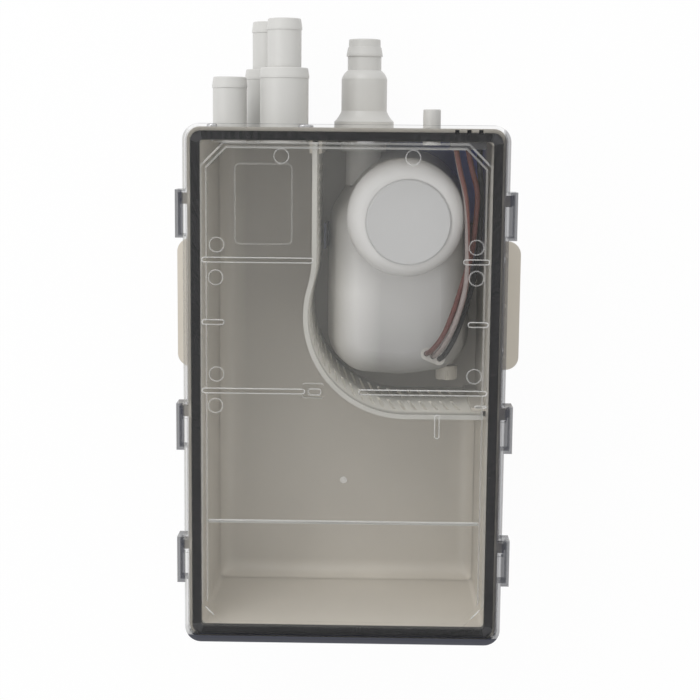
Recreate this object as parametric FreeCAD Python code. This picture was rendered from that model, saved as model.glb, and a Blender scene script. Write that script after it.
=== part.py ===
import FreeCAD, Part
import math
import os

# Shower sump: a drained tub with a clear lid, barbed ports on one end wall and an
# automatic pump inside. Millimetres. The origin is on the underside of the tub, at the
# middle of its rim outline. +Y points at the ported end, +Z out through the lid.

# Tub
rim_width = 178.0
rim_length = 291.0
rim_corner = 9.0
shelf_under = 95.0
shelf_top = 97.5
wall_inset = 6.5
wall_thick = 2.5
wall_corner = 5.5
wall_lean = 1.5
floor_thick = 3.0

# Feet of the tub
foot_out = 16.0
foot_thick = 4.0
foot_low_y = -3.0
foot_high_y = 76.0
foot_corner = 8.0
foot_hole_radius = 2.6
foot_hole_out = 4.5
foot_hole_spacing_y = 56.0
gusset_height = 18.0
gusset_thick = 2.4

# Clips of the lid and the lugs of the tub that they hold
clip_centres = (96.3, -22.5, -99.0)
clip_length = 26.4
clip_out = 4.8
clip_wall = 1.6
clip_foot = 86.0
clip_top = 99.0
clip_cover = 1.2
clip_bead = 0.8
clip_root_width = 3.3
clip_root_length = 7.6
lug_length = 6.0
lug_under = 90.5
lid_travel_gap = 0.4

# Lid and gasket
gasket_inset = 4.0
gasket_width = 4.9
gasket_height = 3.5
lid_inset = 2.5
lid_band_thick = 3.5
lid_skirt_thick = 1.2
lid_skirt_gap = 0.5
lid_top = 108.0
panel_inset_x = 9.4
panel_inset_y = 9.3
panel_slope = 1.5
panel_chamfer = 13.0
panel_thick = 2.5
rib_depth = 4.0
rib_thick = 2.6
rim_skirt_thick = 1.4
rim_skirt_low = 93.5
ledge_drop = 1.2

# Ports: heights and places of the port axes on the end wall
inlet_left_side = 22.5
inlet_right_side = 53.2
inlet_low_side = 42.5
inlet_high_z = 68.0
inlet_low_z = 38.0
outlet_z = 32.0
vent_side = 42.2
vent_z = 80.0

# Inlet ports
hose_small = 9.9
hose_small_body = 9.5
hose_large = 13.95
hose_large_body = 13.6
port_bore = 7.6
crest_land = 1.2
barb_slope = 0.6
inlet_short_reach = 25.8
inlet_short_crest = 19.6
inlet_long_reach = 58.1
inlet_long_crest = 51.7
inlet_step_reach = 31.1
inlet_step_crest = 25.2
spigot_play = 0.3
spigot_proud = 1.5

# Plate that carries the inlet ports
plate_thick = 3.0
plate_margin_left = 13.0
plate_margin_right = 16.3
plate_margin_low = 18.0
plate_margin_high = 20.0
plate_corner = 6.0
plate_gasket = 1.5
plate_screw_inset = 4.6
screw_radius = 1.6
screw_head_radius = 3.0
screw_head_height = 1.8
screw_tip = 3.0

# Outlet fitting, valve and discharge tube
outlet_reach = 49.1
outlet_first_crest = 44.4
outlet_crest = 39.1
outlet_neck_end = 31.3
outlet_shoulder = 26.3
outlet_bell_start = 7.9
outlet_bell_end = 1.8
outlet_crest_radius = 10.5
outlet_tip_radius = 9.2
outlet_neck_radius = 9.8
outlet_fat_radius = 13.3
outlet_bell_radius = 17.4
outlet_bore = 7.5
chamber_radius = 10.5
chamber_reach = 24.0
outlet_seal_thick = 1.2
outlet_tail = 6.5
outlet_clip_thick = 1.5
outlet_clip_radius = 15.6
tube_radius = 10.2
tube_bore = 7.0
tube_reach = 4.5
tube_spigot = 8.0
tube_spigot_wall = 1.2
oring_thick = 1.0
oring_width = 2.4
flap_radius = 8.2
flap_thick = 1.4
flap_pivot_rise = 8.3
flap_pin_radius = 0.6
flap_ear_gap = 2.4
flap_ear_thick = 1.4
flap_ear_radius = 1.15
flap_pivot_out = 1.5

# Vent spigot
vent_radius = 4.9
vent_bore = 3.2
vent_reach = 8.7
vent_collar_radius = 7.0
vent_collar_thick = 1.5

# Wire connector in the end wall
connector_side = 22.4
connector_width = 20.0
connector_low = 81.0
connector_high = 94.6
connector_inside = 4.0
connector_cavity = 3.8
connector_pitch = 6.5
connector_slot = 2.4
connector_front = 0.8
terminal_radius = 0.9

# Strainer curtain
curtain_from_pump = 50.4
curtain_thick = 2.6
curtain_top = 96.0
curtain_below_pump = 110.3
curtain_large_radius = 55.9
curtain_small_radius = 60.0
curtain_bulge = 4.7
curtain_end_gap = 0.8
curtain_floor_gap = 0.3
slit_pitch = 6.2
slit_width = 1.8
slit_height = 29.0
slit_lean = 7.0
slit_rows = (13.0, 52.0)
guide_thick = 1.8
guide_gap = 0.3
guide_depth = 7.0
guide_top = 84.0

# Pump: plan of the body about the motor's axis, as circles with straight sides between them
pump_from_side = 56.0
pump_from_end = 51.1
body_plan = ((0.0, 0.0, 33.6), (-15.5, -8.4, 25.0), (-17.0, -44.4, 24.0), (-20.5, -71.9, 20.5),
             (-2.0, -57.9, 35.7), (16.3, -71.4, 19.7), (13.0, -46.4, 23.2))
room_plan = ((-19.0, -50.4, 17.0), (-20.0, -71.4, 18.0), (16.5, -71.4, 17.0), (16.0, -52.4, 16.0))
body_wall = 2.2
strainer_flange = 4.0
strainer_top = 16.0
strainer_floor = 2.0
strainer_slot = 2.2
strainer_slot_pitch = 6.0
strainer_tab_back = 14.4
strainer_tab_length = 15.0
strainer_tab_gap = 1.2
strainer_tab_thick = 1.6
strainer_tab_top = 30.0
deck_under = 41.0
deck_top = 45.0
deck_recess = 2.0
housing_seam = 0.4
shoulder_steps = ((11.0, 1.5), (18.0, 5.0), (22.0, 10.0), (23.5, 15.0))
dome_radius = 33.0
dome_top = 90.5
dome_round = 10.0
label_radius = 23.7
label_thick = 1.3
label_shift_x = 1.4
label_shift_y = -2.2

# Impeller and its spiral chamber
volute_under = 24.0
volute_roof = 38.5
volute_radii = (22.5, 25.0, 27.8, 31.2)
volute_tongue = 15.3
volute_cover_thick = 2.0
eye_radius = 8.5
impeller_radius = 19.5
impeller_under = 25.0
impeller_disc = 2.0
vane_height = 8.5
vane_count = 6
vane_thick = 1.6
vane_sweep = 55.0
nozzle_offset = 24.3
nozzle_reach = 33.6

# Motor
can_radius = 17.4
can_wall = 1.2
can_top = 85.0
end_plate_thick = 2.0
shaft_radius = 1.6
shaft_top = 83.0
bearing_radius = 5.0
bearing_height = 4.0
running_gap = 0.05
core_radius = 11.0
core_length = 13.0
core_slots = 7
magnet_gap = 0.6
winding_radius = 9.6
winding_height = 3.4
winding_gap = 3.6
commutator_radius = 4.6
commutator_height = 5.0
brush_size = 3.2
brush_length = 4.6
brush_card_thick = 1.2
spring_length = 4.4
seal_radius = 5.0
seal_web = 1.2
seal_height = 3.0

# Float, its spindle and the test knob
spindle_from_motor = 26.6
spindle_z = 29.0
spindle_radius = 1.6
float_from_motor = 9.0
float_length = 36.0
float_far = 81.4
float_width = 33.0
float_under = 9.0
float_height = 12.0
float_corner = 6.0
arm_thick = 3.0
arm_height = 5.0
hub_radius = 3.6
hub_length = 12.0
knob_radius = 6.4
knob_length = 8.4
knob_gap = 0.5
knob_far = 90.4
knob_grips = 6
bush_radius = 3.2
bush_length = 4.2
magnet_radius = 2.6
magnet_height = 4.0
switch_length = 22.0
switch_width = 9.0
switch_height = 7.0
switch_seat_gap = 0.3

# Leads and their gland
lead_radius = 1.5
gland_from_motor = 17.0
gland_far = 79.9
gland_top = 69.5
lead_start_z = 63.5
gland_length = 14.4
gland_width = 7.4
gland_turn = -21.5
gland_step_x = 3.8
gland_step_y = -1.5
bend_share = 0.45

half_x = rim_width / 2
half_y = rim_length / 2
foot_reach = half_x + foot_out
foot_hole_x = half_x + foot_hole_out
clip_reach = half_x + clip_out
lug_reach = clip_reach - clip_wall - clip_bead - lid_travel_gap
shelf_inset = rim_skirt_thick + lid_travel_gap
motor_x = half_x - pump_from_side
motor_y = half_y - pump_from_end
body_circles = tuple((motor_x + x, motor_y + y, r) for x, y, r in body_plan)
room_circles = tuple((motor_x + x, motor_y + y, r) for x, y, r in room_plan)
inlet_left_x = inlet_left_side - half_x
inlet_right_x = inlet_right_side - half_x
inlet_low_x = inlet_low_side - half_x
outlet_x = motor_x - nozzle_offset
nozzle_end_y = motor_y + nozzle_reach
vent_x = half_x - vent_side
connector_x = half_x - connector_side
curtain_x = motor_x - curtain_from_pump
curtain_low_y = motor_y - curtain_below_pump
spindle_x = motor_x + spindle_from_motor
float_high_x = motor_x + float_from_motor
float_low_x = float_high_x - float_length
float_low_y = motor_y - float_far
float_high_y = float_low_y + float_width
knob_seat_y = motor_y - knob_far
gland_x = motor_x + gland_from_motor
gland_y = motor_y - gland_far
can_under = deck_top - deck_recess
core_under = can_under + end_plate_thick + bearing_height + winding_gap + winding_height
core_top = core_under + core_length
wall_x = half_x - wall_inset
wall_y = half_y - wall_inset
inner_wall_y = wall_y - wall_thick
terminal_z = (connector_low + connector_high) / 2
lead_end_y = inner_wall_y - connector_inside
lead_turn_y = lead_end_y - 10.0
left_gland = (gland_x - gland_step_x, gland_y - gland_step_y)
middle_gland = (gland_x, gland_y)
right_gland = (gland_x + gland_step_x, gland_y + gland_step_y)
left_terminal = (connector_x - connector_pitch, lead_turn_y, terminal_z)
middle_terminal = (connector_x, lead_turn_y, terminal_z)
right_terminal = (connector_x + connector_pitch, lead_turn_y, terminal_z)

# Routes of the three leads, from inside the pump through the gland to the connector
lead_routes = {
    "lead_brown": (left_gland + (lead_start_z,), left_gland + (77.0,), (54.0, 26.1, 84.5),
                   (59.9, 40.3, 86.0), (65.6, 59.2, 85.0), (70.3, 74.2, 83.0), (72.0, 92.9, 82.0),
                   (72.5, 107.9, 82.5), middle_terminal, (connector_x, lead_end_y, terminal_z)),
    "lead_striped": (middle_gland + (lead_start_z,), middle_gland + (77.5,), (57.6, 25.8, 84.0),
                     (63.2, 40.3, 87.6), (68.6, 59.6, 88.5), (68.8, 78.2, 87.5), (67.6, 93.1, 86.0),
                     (64.7, 108.0, 85.0), left_terminal,
                     (connector_x - connector_pitch, lead_end_y, terminal_z)),
    "lead_black": (right_gland + (lead_start_z,), right_gland + (76.5,), (60.3, 23.7, 83.0),
                   (66.5, 39.7, 80.5), (71.8, 58.7, 80.0), (74.1, 73.9, 79.0), (74.8, 92.7, 78.5),
                   (75.3, 107.8, 79.5), right_terminal,
                   (connector_x + connector_pitch, lead_end_y, terminal_z)),
}


def vec(x, y, z):
    return FreeCAD.Vector(x, y, z)


def block(x0, x1, y0, y1, z0, z1):
    return Part.makeBox(x1 - x0, y1 - y0, z1 - z0, vec(x0, y0, z0))


def rod(radius, start, end):
    run = end - start
    return Part.makeCylinder(radius, run.Length, start, run)


def fused(shapes):
    whole = shapes[0].fuse(list(shapes[1:])) if len(shapes) > 1 else shapes[0]
    return whole.removeSplitter()


def outline(start, steps, place):
    # Two numbers draw a straight side, four an arc through a middle point.
    edges = []
    here = start
    for step in steps:
        there = step[-2:]
        if len(step) == 2:
            edges.append(Part.LineSegment(place(*here), place(*there)).toShape())
        else:
            edges.append(Part.Arc(place(*here), place(*step[:2]), place(*there)).toShape())
        here = there
    if math.dist(here, start) > 1e-6:
        edges.append(Part.LineSegment(place(*here), place(*start)).toShape())
    return Part.Wire(edges)


def turned(start, steps, origin, direction):
    # A section of radius and height is swept once round its axis.
    wire = outline(start, steps, lambda r, s: vec(r, 0, s))
    solid = Part.Face(wire).revolve(vec(0, 0, 0), vec(0, 0, 1), 360)
    solid.Placement = FreeCAD.Placement(origin, FreeCAD.Rotation(vec(0, 0, 1), direction))
    return solid


def rounded_wire(x0, x1, y0, y1, corner, z):
    bow = corner * (1 - math.sqrt(0.5))
    steps = ((x1 - corner, y0), (x1 - bow, y0 + bow, x1, y0 + corner),
             (x1, y1 - corner), (x1 - bow, y1 - bow, x1 - corner, y1),
             (x0 + corner, y1), (x0 + bow, y1 - bow, x0, y1 - corner),
             (x0, y0 + corner), (x0 + bow, y0 + bow, x0 + corner, y0))
    return outline((x0 + corner, y0), steps, lambda x, y: vec(x, y, z))


def rounded_slab(x0, x1, y0, y1, corner, z0, z1):
    return Part.Face(rounded_wire(x0, x1, y0, y1, corner, z0)).extrude(vec(0, 0, z1 - z0))


def rim_slab(inset, corner, z0, z1):
    return rounded_slab(inset - half_x, half_x - inset, inset - half_y, half_y - inset, corner, z0, z1)


def hull_wire(circles, grow, z):
    # Arcs of the circles, counter-clockwise, joined by their outer tangents.
    grown = [(x, y, r + grow) for x, y, r in circles]
    count = len(grown)
    normals = []
    for i in range(count):
        x0, y0, r0 = grown[i]
        x1, y1, r1 = grown[(i + 1) % count]
        heading = math.atan2(y1 - y0, x1 - x0)
        normals.append(heading - math.acos((r0 - r1) / math.hypot(x1 - x0, y1 - y0)))
    edges = []
    for i in range(count):
        x, y, r = grown[i]
        into = normals[i - 1]
        away = into + (normals[i] - into) % (2 * math.pi)

        def at(angle):
            return vec(x + r * math.cos(angle), y + r * math.sin(angle), z)

        edges.append(Part.Arc(at(into), at((into + away) / 2), at(away)).toShape())
        nx, ny, nr = grown[(i + 1) % count]
        there = vec(nx + nr * math.cos(normals[i]), ny + nr * math.sin(normals[i]), z)
        edges.append(Part.LineSegment(at(away), there).toShape())
    return Part.Wire(edges)


def hull_slab(circles, grow, z0, z1):
    return Part.Face(hull_wire(circles, grow, z0)).extrude(vec(0, 0, z1 - z0))


def save(shape, name):
    if shape.isNull() or not shape.isValid():
        print("CHECK", name, "is not valid")
    shape.exportStep("parts/" + name + ".step")
    print(name, len(shape.Solids), "solids", round(shape.Volume), "mm3")


def wall_gap_x(z):
    # Half width inside the tub at height z, between the leaning side walls.
    share = (z - floor_thick) / (shelf_top - floor_thick)
    return wall_x - wall_thick - wall_lean * (1 - share)


def tub_cavity():
    floor_x = wall_x - wall_lean - wall_thick
    floor_y = wall_y - wall_lean - wall_thick
    top_x = wall_x - wall_thick
    corner = wall_corner - wall_thick
    low = rounded_wire(-floor_x, floor_x, -floor_y, inner_wall_y, corner, floor_thick)
    high = rounded_wire(-top_x, top_x, -inner_wall_y, inner_wall_y, corner, shelf_top)
    return Part.makeLoft([low, high], True, True)


def tub_shell():
    floor_x = wall_x - wall_lean
    floor_y = wall_y - wall_lean
    low = rounded_wire(-floor_x, floor_x, -floor_y, wall_y, wall_corner, 0)
    high = rounded_wire(-wall_x, wall_x, -wall_y, wall_y, wall_corner, shelf_under)
    walls = Part.makeLoft([low, high], True, True)
    shelf = rim_slab(shelf_inset, rim_corner - shelf_inset, shelf_under, shelf_top)
    return [walls, shelf]


def feet():
    inside = wall_x - wall_lean - wall_thick
    plates = rounded_slab(-foot_reach, foot_reach, foot_low_y, foot_high_y, foot_corner, 0, foot_thick)
    plates = plates.cut(block(-inside, inside, foot_low_y, foot_high_y, 0, foot_thick))
    middle = (foot_low_y + foot_high_y) / 2
    gussets = []
    for side in (-1, 1):
        for share in (-0.5, 0, 0.5):
            y = middle + share * (foot_high_y - foot_low_y - 2 * foot_corner)
            corners = [vec(side * inside, y, foot_thick), vec(side * (foot_reach - foot_corner), y,
                                                              foot_thick),
                       vec(side * (wall_x - wall_lean), y, foot_thick + gusset_height),
                       vec(side * inside, y, foot_thick + gusset_height)]
            web = Part.Face(Part.makePolygon(corners + corners[:1])).extrude(vec(0, gusset_thick, 0))
            web.translate(vec(0, -gusset_thick / 2, 0))
            gussets.append(web)
    return [plates] + gussets


def foot_holes():
    middle = (foot_low_y + foot_high_y) / 2
    holes = []
    for side in (-1, 1):
        for end in (-1, 1):
            x = side * foot_hole_x
            y = middle + end * foot_hole_spacing_y / 2
            holes.append(rod(foot_hole_radius, vec(x, y, -1), vec(x, y, foot_thick + 1)))
    return holes


def clip_lug(side, centre):
    # The tub's lug sits near the upper end of its clip, under the rim.
    high = centre + clip_length / 2 - clip_wall - lid_travel_gap
    lug = block(wall_x - 0.5, lug_reach, high - lug_length, high, lug_under, shelf_under)
    return lug if side > 0 else lug.mirror(vec(0, 0, 0), vec(1, 0, 0))


def curtain_centres():
    # The small arc bows the curtain out, the large one carries it round the pump.
    angle = math.acos(1 - curtain_bulge / (curtain_large_radius + curtain_small_radius))
    large_x = curtain_x - curtain_bulge + curtain_large_radius
    large_y = curtain_low_y + curtain_large_radius
    small_y = large_y + (curtain_large_radius + curtain_small_radius) * math.sin(angle)
    return angle, large_x, large_y, curtain_x - curtain_small_radius, small_y


def curtain_end_x():
    return wall_gap_x(floor_thick) - curtain_end_gap


def guides():
    side = curtain_thick / 2 + guide_gap
    top_y = inner_wall_y
    pieces = []
    for sign in (-1, 1):
        near = sign * side
        far = sign * (side + guide_thick)
        x0, x1 = sorted((curtain_x + near, curtain_x + far))
        pieces.append(block(x0, x1, top_y - guide_depth, top_y + 1, floor_thick - 1, guide_top))
        y0, y1 = sorted((curtain_low_y + near, curtain_low_y + far))
        pieces.append(block(wall_gap_x(floor_thick) - guide_depth, wall_x - wall_thick / 2, y0, y1,
                            floor_thick - 1, guide_top))
    return pieces


def port_holes():
    inner = inner_wall_y - 1
    outer = wall_y + 1
    holes = []
    for x, z, radius in ((inlet_left_x, inlet_high_z, hose_small_body),
                         (inlet_right_x, inlet_high_z, hose_large_body),
                         (inlet_low_x, inlet_low_z, hose_large_body),
                         (outlet_x, outlet_z, outlet_fat_radius),
                         (vent_x, vent_z, vent_radius)):
        holes.append(rod(radius + spigot_play, vec(x, inner, z), vec(x, outer, z)))
    for x, z in plate_screws():
        holes.append(rod(screw_radius - 0.3, vec(x, inner, z), vec(x, outer, z)))
    half = connector_width / 2
    holes.append(block(connector_x - half, connector_x + half, inner, outer, connector_low, connector_high))
    groove = half_y - lid_inset + 0.1
    for step in (-1, 0, 1):
        x = connector_x + step * connector_pitch
        holes.append(block(x - connector_slot / 2, x + connector_slot / 2, groove - connector_slot, groove,
                           shelf_under - 1, shelf_top + 1))
    return holes


def base_screw_places():
    return ((motor_x - 26.0, motor_y), (motor_x + 26.0, motor_y), (motor_x - 1.0, motor_y - 86.4))


def base_tub():
    bosses = [rod(4.0, vec(x, y, floor_thick - 1), vec(x, y, floor_thick + 4.0))
              for x, y in base_screw_places()]
    solids = tub_shell() + feet()
    cuts = [tub_cavity()] + foot_holes() + port_holes()
    solids += [clip_lug(side, centre) for side in (-1, 1) for centre in clip_centres]
    tub = fused(solids).cut(cuts)
    tub = fused([tub] + guides() + bosses)
    pilots = [rod(1.3, vec(x, y, floor_thick + 0.5), vec(x, y, floor_thick + 5.0))
              for x, y in base_screw_places()]
    return tub.cut(pilots)


def lid_gasket():
    low = shelf_top
    high = shelf_top + gasket_height
    outer = rim_slab(gasket_inset, wall_corner, low, high)
    return outer.cut(rim_slab(gasket_inset + gasket_width, 1.6, low, high))


def band_low():
    return shelf_top + gasket_height


def band_high():
    return band_low() + lid_band_thick


def panel_wire(shrink, z):
    x = half_x - panel_inset_x - shrink
    y = half_y - panel_inset_y - shrink
    cut = panel_chamfer - shrink * 0.59
    steps = ((x - cut, -y), (x, cut - y), (x, y - cut), (x - cut, y), (cut - x, y), (-x, y - cut),
             (-x, cut - y), (cut - x, -y))
    return outline((cut - x, -y), steps, lambda a, b: vec(a, b, z))


def lid_clip(side, centre):
    # A clip as its hood with a root on the lid's edge, its hollow, and the bead below the tub's lug.
    low = centre - clip_length / 2
    high = centre + clip_length / 2
    inner_x = clip_reach - clip_wall
    hood = block(half_x - rim_skirt_thick, clip_reach, low, high, clip_foot, clip_top)
    root = block(half_x - clip_root_width, half_x + 0.9, high - clip_root_length, high,
                 clip_top - clip_cover, band_high())
    hollow = block(half_x - rim_skirt_thick - 1, inner_x, low + clip_wall, high - clip_wall,
                   clip_foot - 1, clip_top - clip_cover)
    y = high - clip_wall - lug_length
    crest = lug_under - lid_travel_gap - clip_bead
    corners = [vec(inner_x, y, crest - 2 * clip_bead), vec(inner_x - clip_bead, y, crest),
               vec(inner_x, y, crest + clip_bead)]
    bead = Part.Face(Part.makePolygon(corners + corners[:1])).extrude(vec(0, lug_length, 0))
    shapes = [hood.fuse(root), hollow, bead]
    return shapes if side > 0 else [shape.mirror(vec(0, 0, 0), vec(1, 0, 0)) for shape in shapes]


def lid_rib(x0, x1, y, thick):
    under = lid_top - panel_thick
    return rounded_slab(x0, x1, y - thick / 2, y + thick / 2, thick * 0.45, under - rib_depth, under + 0.5)


def lid_ribs():
    edge = half_x - panel_inset_x - 1.0
    ribs = [lid_rib(-edge, 60.8 - edge, 71.6, rib_thick), lid_rib(edge - 14.0, edge, 71.6, rib_thick),
            lid_rib(-edge, 12.1 - edge, 37.2, rib_thick), lid_rib(edge - 10.9, edge, 37.2, rib_thick),
            lid_rib(-edge, 56.6 - edge, -1.0, rib_thick), lid_rib(edge - 70.5, edge, -1.0, rib_thick),
            lid_rib(edge - 6.3, edge, -8.5, 1.0), lid_rib(3.1 - edge, edge - 3.1, -75.0, 1.0)]
    under = lid_top - panel_thick
    ribs.append(rounded_slab(edge - 28.3, edge - 25.9, -26.5, -13.3, 1.1, under - rib_depth, under + 0.5))
    # A small open loop at the end of one rib.
    loop = rounded_slab(55.2 - edge, 67.3 - edge, -4.4, 3.6, 1.5, under - rib_depth, under + 0.5)
    hollow = rounded_slab(58.6 - edge, 65.7 - edge, -2.8, 0.6, 1.0, under - rib_depth - 1, under)
    ribs.append(loop.cut(hollow))
    return ribs


def lid():
    band = rim_slab(lid_inset, rim_corner - lid_inset, band_low(), band_high())
    ledge = rim_slab(0, rim_corner, band_low(), band_high() - ledge_drop)
    skirt = rim_slab(0, rim_corner, rim_skirt_low, band_low())
    skirt = skirt.cut(rim_slab(rim_skirt_thick, rim_corner - rim_skirt_thick, rim_skirt_low, band_low()))
    guide_low = shelf_top + lid_skirt_gap
    guide = rim_slab(lid_inset, rim_corner - lid_inset, guide_low, band_low())
    guide = guide.cut(rim_slab(lid_inset + lid_skirt_thick, rim_corner - lid_inset - lid_skirt_thick,
                               guide_low, band_low()))
    crown = Part.makeLoft([panel_wire(0, band_high() - 0.5), panel_wire(panel_slope, lid_top)], True, True)
    hollow = Part.makeLoft([panel_wire(panel_thick, band_low() - 0.5),
                            panel_wire(panel_thick + panel_slope, lid_top - panel_thick)], True, True)
    shell = fused([band, ledge, skirt, guide, crown]).cut(hollow)
    clips = [lid_clip(side, centre) for side in (-1, 1) for centre in clip_centres]
    whole = fused([shell] + lid_ribs() + [clip[0] for clip in clips]).cut([clip[1] for clip in clips])
    return fused([whole] + [clip[2] for clip in clips])


def barb(radius, body, crest, reach, start):
    # Steps of one barb's outside, from its root up: body, crest land, tapering nose.
    nose = radius - barb_slope
    return [(body, start), (body, crest), (radius, crest + 0.2), (radius, crest + 0.2 + crest_land),
            (nose, reach - 0.8), (nose - 0.2, reach - 0.25, nose - 0.8, reach)]


def inlet_port(x, z, two_stage):
    start = half_y - wall_y - plate_gasket
    lower = [(port_bore, -wall_thick - spigot_proud)]
    body = hose_large_body if two_stage else hose_small_body
    lower += [(body, -wall_thick - spigot_proud)]
    offset = half_y - wall_y
    steps = list(lower)
    if two_stage:
        steps += barb(hose_large, hose_large_body, offset + inlet_step_crest, offset + inlet_step_reach, 0)
        steps += barb(hose_small, hose_small_body, offset + inlet_long_crest, offset + inlet_long_reach,
                      offset + inlet_step_reach)
        tip = offset + inlet_long_reach
    else:
        steps += barb(hose_small, hose_small_body, offset + inlet_short_crest, offset + inlet_short_reach, 0)
        tip = offset + inlet_short_reach
    steps += [(port_bore, tip)]
    return turned(steps[0], steps[1:], vec(x, wall_y, z), vec(0, 1, 0))


def plate_box():
    return (inlet_left_x - plate_margin_left, inlet_right_x + plate_margin_right,
            inlet_low_z - plate_margin_low, inlet_high_z + plate_margin_high)


def plate_slab(y0, y1):
    x0, x1, z0, z1 = plate_box()
    slab = rounded_slab(x0, x1, z0, z1, plate_corner, 0, y1 - y0)
    # The slab is drawn lying down, then stood up against the end wall.
    slab.rotate(vec(0, 0, 0), vec(1, 0, 0), 90)
    slab.translate(vec(0, y1, 0))
    return slab


def plate_screws():
    x0, x1, z0, z1 = plate_box()
    return [(x, z) for x in (x0 + plate_screw_inset, x1 - plate_screw_inset)
            for z in (z0 + plate_screw_inset, z1 - plate_screw_inset)]


def inlet_manifold():
    y0 = wall_y + plate_gasket
    plate = plate_slab(y0, y0 + plate_thick)
    ports = [inlet_port(inlet_left_x, inlet_high_z, False), inlet_port(inlet_right_x, inlet_high_z, True),
             inlet_port(inlet_low_x, inlet_low_z, True)]
    whole = fused([plate] + ports)
    cuts = [rod(port_bore, vec(x, wall_y - 5, z), vec(x, wall_y + 12, z))
            for x, z in ((inlet_left_x, inlet_high_z), (inlet_right_x, inlet_high_z),
                         (inlet_low_x, inlet_low_z))]
    cuts += [rod(screw_radius + 0.2, vec(x, wall_y, z), vec(x, y0 + plate_thick + 1, z))
             for x, z in plate_screws()]
    return whole.cut(cuts)


def manifold_gasket():
    slab = plate_slab(wall_y, wall_y + plate_gasket)
    cuts = [rod(radius + spigot_play, vec(x, wall_y - 1, z), vec(x, wall_y + 3, z))
            for x, z, radius in ((inlet_left_x, inlet_high_z, hose_small_body),
                                 (inlet_right_x, inlet_high_z, hose_large_body),
                                 (inlet_low_x, inlet_low_z, hose_large_body))]
    cuts += [rod(screw_radius + 0.2, vec(x, wall_y - 1, z), vec(x, wall_y + 3, z))
             for x, z in plate_screws()]
    return slab.cut(cuts)


def screw(x, y, z, direction, grip, tip):
    # A pan-head screw: its head lies beyond the point, its shank goes back through it.
    shank = screw_radius - 0.35
    top = screw_head_height
    steps = ((shank, -grip - tip), (shank, 0), (screw_head_radius, 0), (screw_head_radius, top * 0.5),
             (screw_head_radius * 0.9, top * 0.85, screw_head_radius * 0.7, top), (0, top))
    return turned((0, -grip - tip), steps, vec(x, y, z), direction)


def manifold_screws():
    y = wall_y + plate_gasket + plate_thick
    grip = plate_gasket + plate_thick
    return Part.makeCompound([screw(x, y, z, vec(0, 1, 0), grip, screw_tip) for x, z in plate_screws()])


def outlet_fitting():
    offset = half_y - wall_y
    base = outlet_seal_thick
    r = outlet_crest_radius
    steps = [(outlet_fat_radius, -wall_thick - outlet_tail), (outlet_fat_radius, base),
             (outlet_bell_radius, base), (outlet_bell_radius, offset + outlet_bell_end),
             (outlet_fat_radius + 1.3, offset + 5.2, outlet_fat_radius, offset + outlet_bell_start),
             (outlet_fat_radius, offset + outlet_shoulder),
             (outlet_neck_radius + 2.4, offset + outlet_shoulder + 2.4,
              outlet_neck_radius, offset + outlet_neck_end),
             (outlet_neck_radius, offset + outlet_crest), (r, offset + outlet_crest + 0.2),
             (r, offset + outlet_crest + 0.2 + crest_land),
             (outlet_tip_radius + 0.5, offset + outlet_first_crest),
             (outlet_tip_radius + 0.1, offset + outlet_first_crest + 0.2),
             (outlet_tip_radius, offset + outlet_reach - 0.8),
             (outlet_tip_radius - 0.2, offset + outlet_reach - 0.25,
              outlet_tip_radius - 0.8, offset + outlet_reach),
             (outlet_bore, offset + outlet_reach), (outlet_bore, offset + chamber_reach + 2.5),
             (chamber_radius, offset + chamber_reach)]
    fitting = turned((chamber_radius, -wall_thick - outlet_tail), steps,
                     vec(outlet_x, wall_y, outlet_z), vec(0, 1, 0))
    groove_y = inner_wall_y - outlet_clip_thick - 0.2
    groove = ring(outlet_fat_radius - 0.8, outlet_fat_radius + 1, groove_y,
                  groove_y + outlet_clip_thick + 0.1)
    return fitting.cut(groove)


def ring(inner, outer, y0, y1):
    axis_start = vec(outlet_x, y0, outlet_z)
    axis_end = vec(outlet_x, y1, outlet_z)
    return rod(outer, axis_start, axis_end).cut(rod(inner, axis_start, axis_end))


def outlet_seal():
    return ring(outlet_fat_radius + 0.1, outlet_bell_radius - 0.6, wall_y, wall_y + outlet_seal_thick)


def outlet_clip():
    # An open ring that snaps into the groove of the fitting from below.
    y0 = inner_wall_y - outlet_clip_thick - 0.15
    whole = ring(outlet_fat_radius - 0.75, outlet_clip_radius, y0, y0 + outlet_clip_thick)
    mouth = block(outlet_x - 7.5, outlet_x + 7.5, y0 - 1, y0 + outlet_clip_thick + 1,
                  outlet_z - outlet_clip_radius - 1,
                  outlet_z)
    return whole.cut(mouth)


def seat_y():
    return half_y + tube_reach


def flap_pivot_z():
    return outlet_z + flap_pivot_rise


def discharge_tube():
    tube = ring(tube_bore, tube_radius, nozzle_end_y, seat_y())
    spigot = ring(tube_bore, tube_bore + tube_spigot_wall, nozzle_end_y - tube_spigot, nozzle_end_y + 1)
    y = seat_y()
    z = flap_pivot_z()
    ears = []
    for side in (-1, 1):
        x0 = outlet_x + side * flap_ear_gap
        x1 = x0 + side * flap_ear_thick
        ears.append(rod(flap_ear_radius, vec(x0, y + flap_pivot_out, z), vec(x1, y + flap_pivot_out, z)))
        ears.append(block(min(x0, x1), max(x0, x1), y - 1, y + flap_pivot_out,
                          z - flap_ear_radius, z + flap_ear_radius))
    body = fused([tube, spigot] + ears)
    grooves = [ring(tube_radius - oring_thick, tube_radius + 1, y,
                    y + oring_width) for y in seal_places()[:1]]
    grooves.append(flap_axle(flap_pin_radius, flap_ear_gap + flap_ear_thick + 1))
    return body.cut(grooves)


def seal_places():
    return (wall_y + 2.0, nozzle_end_y - 5.0)


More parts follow.
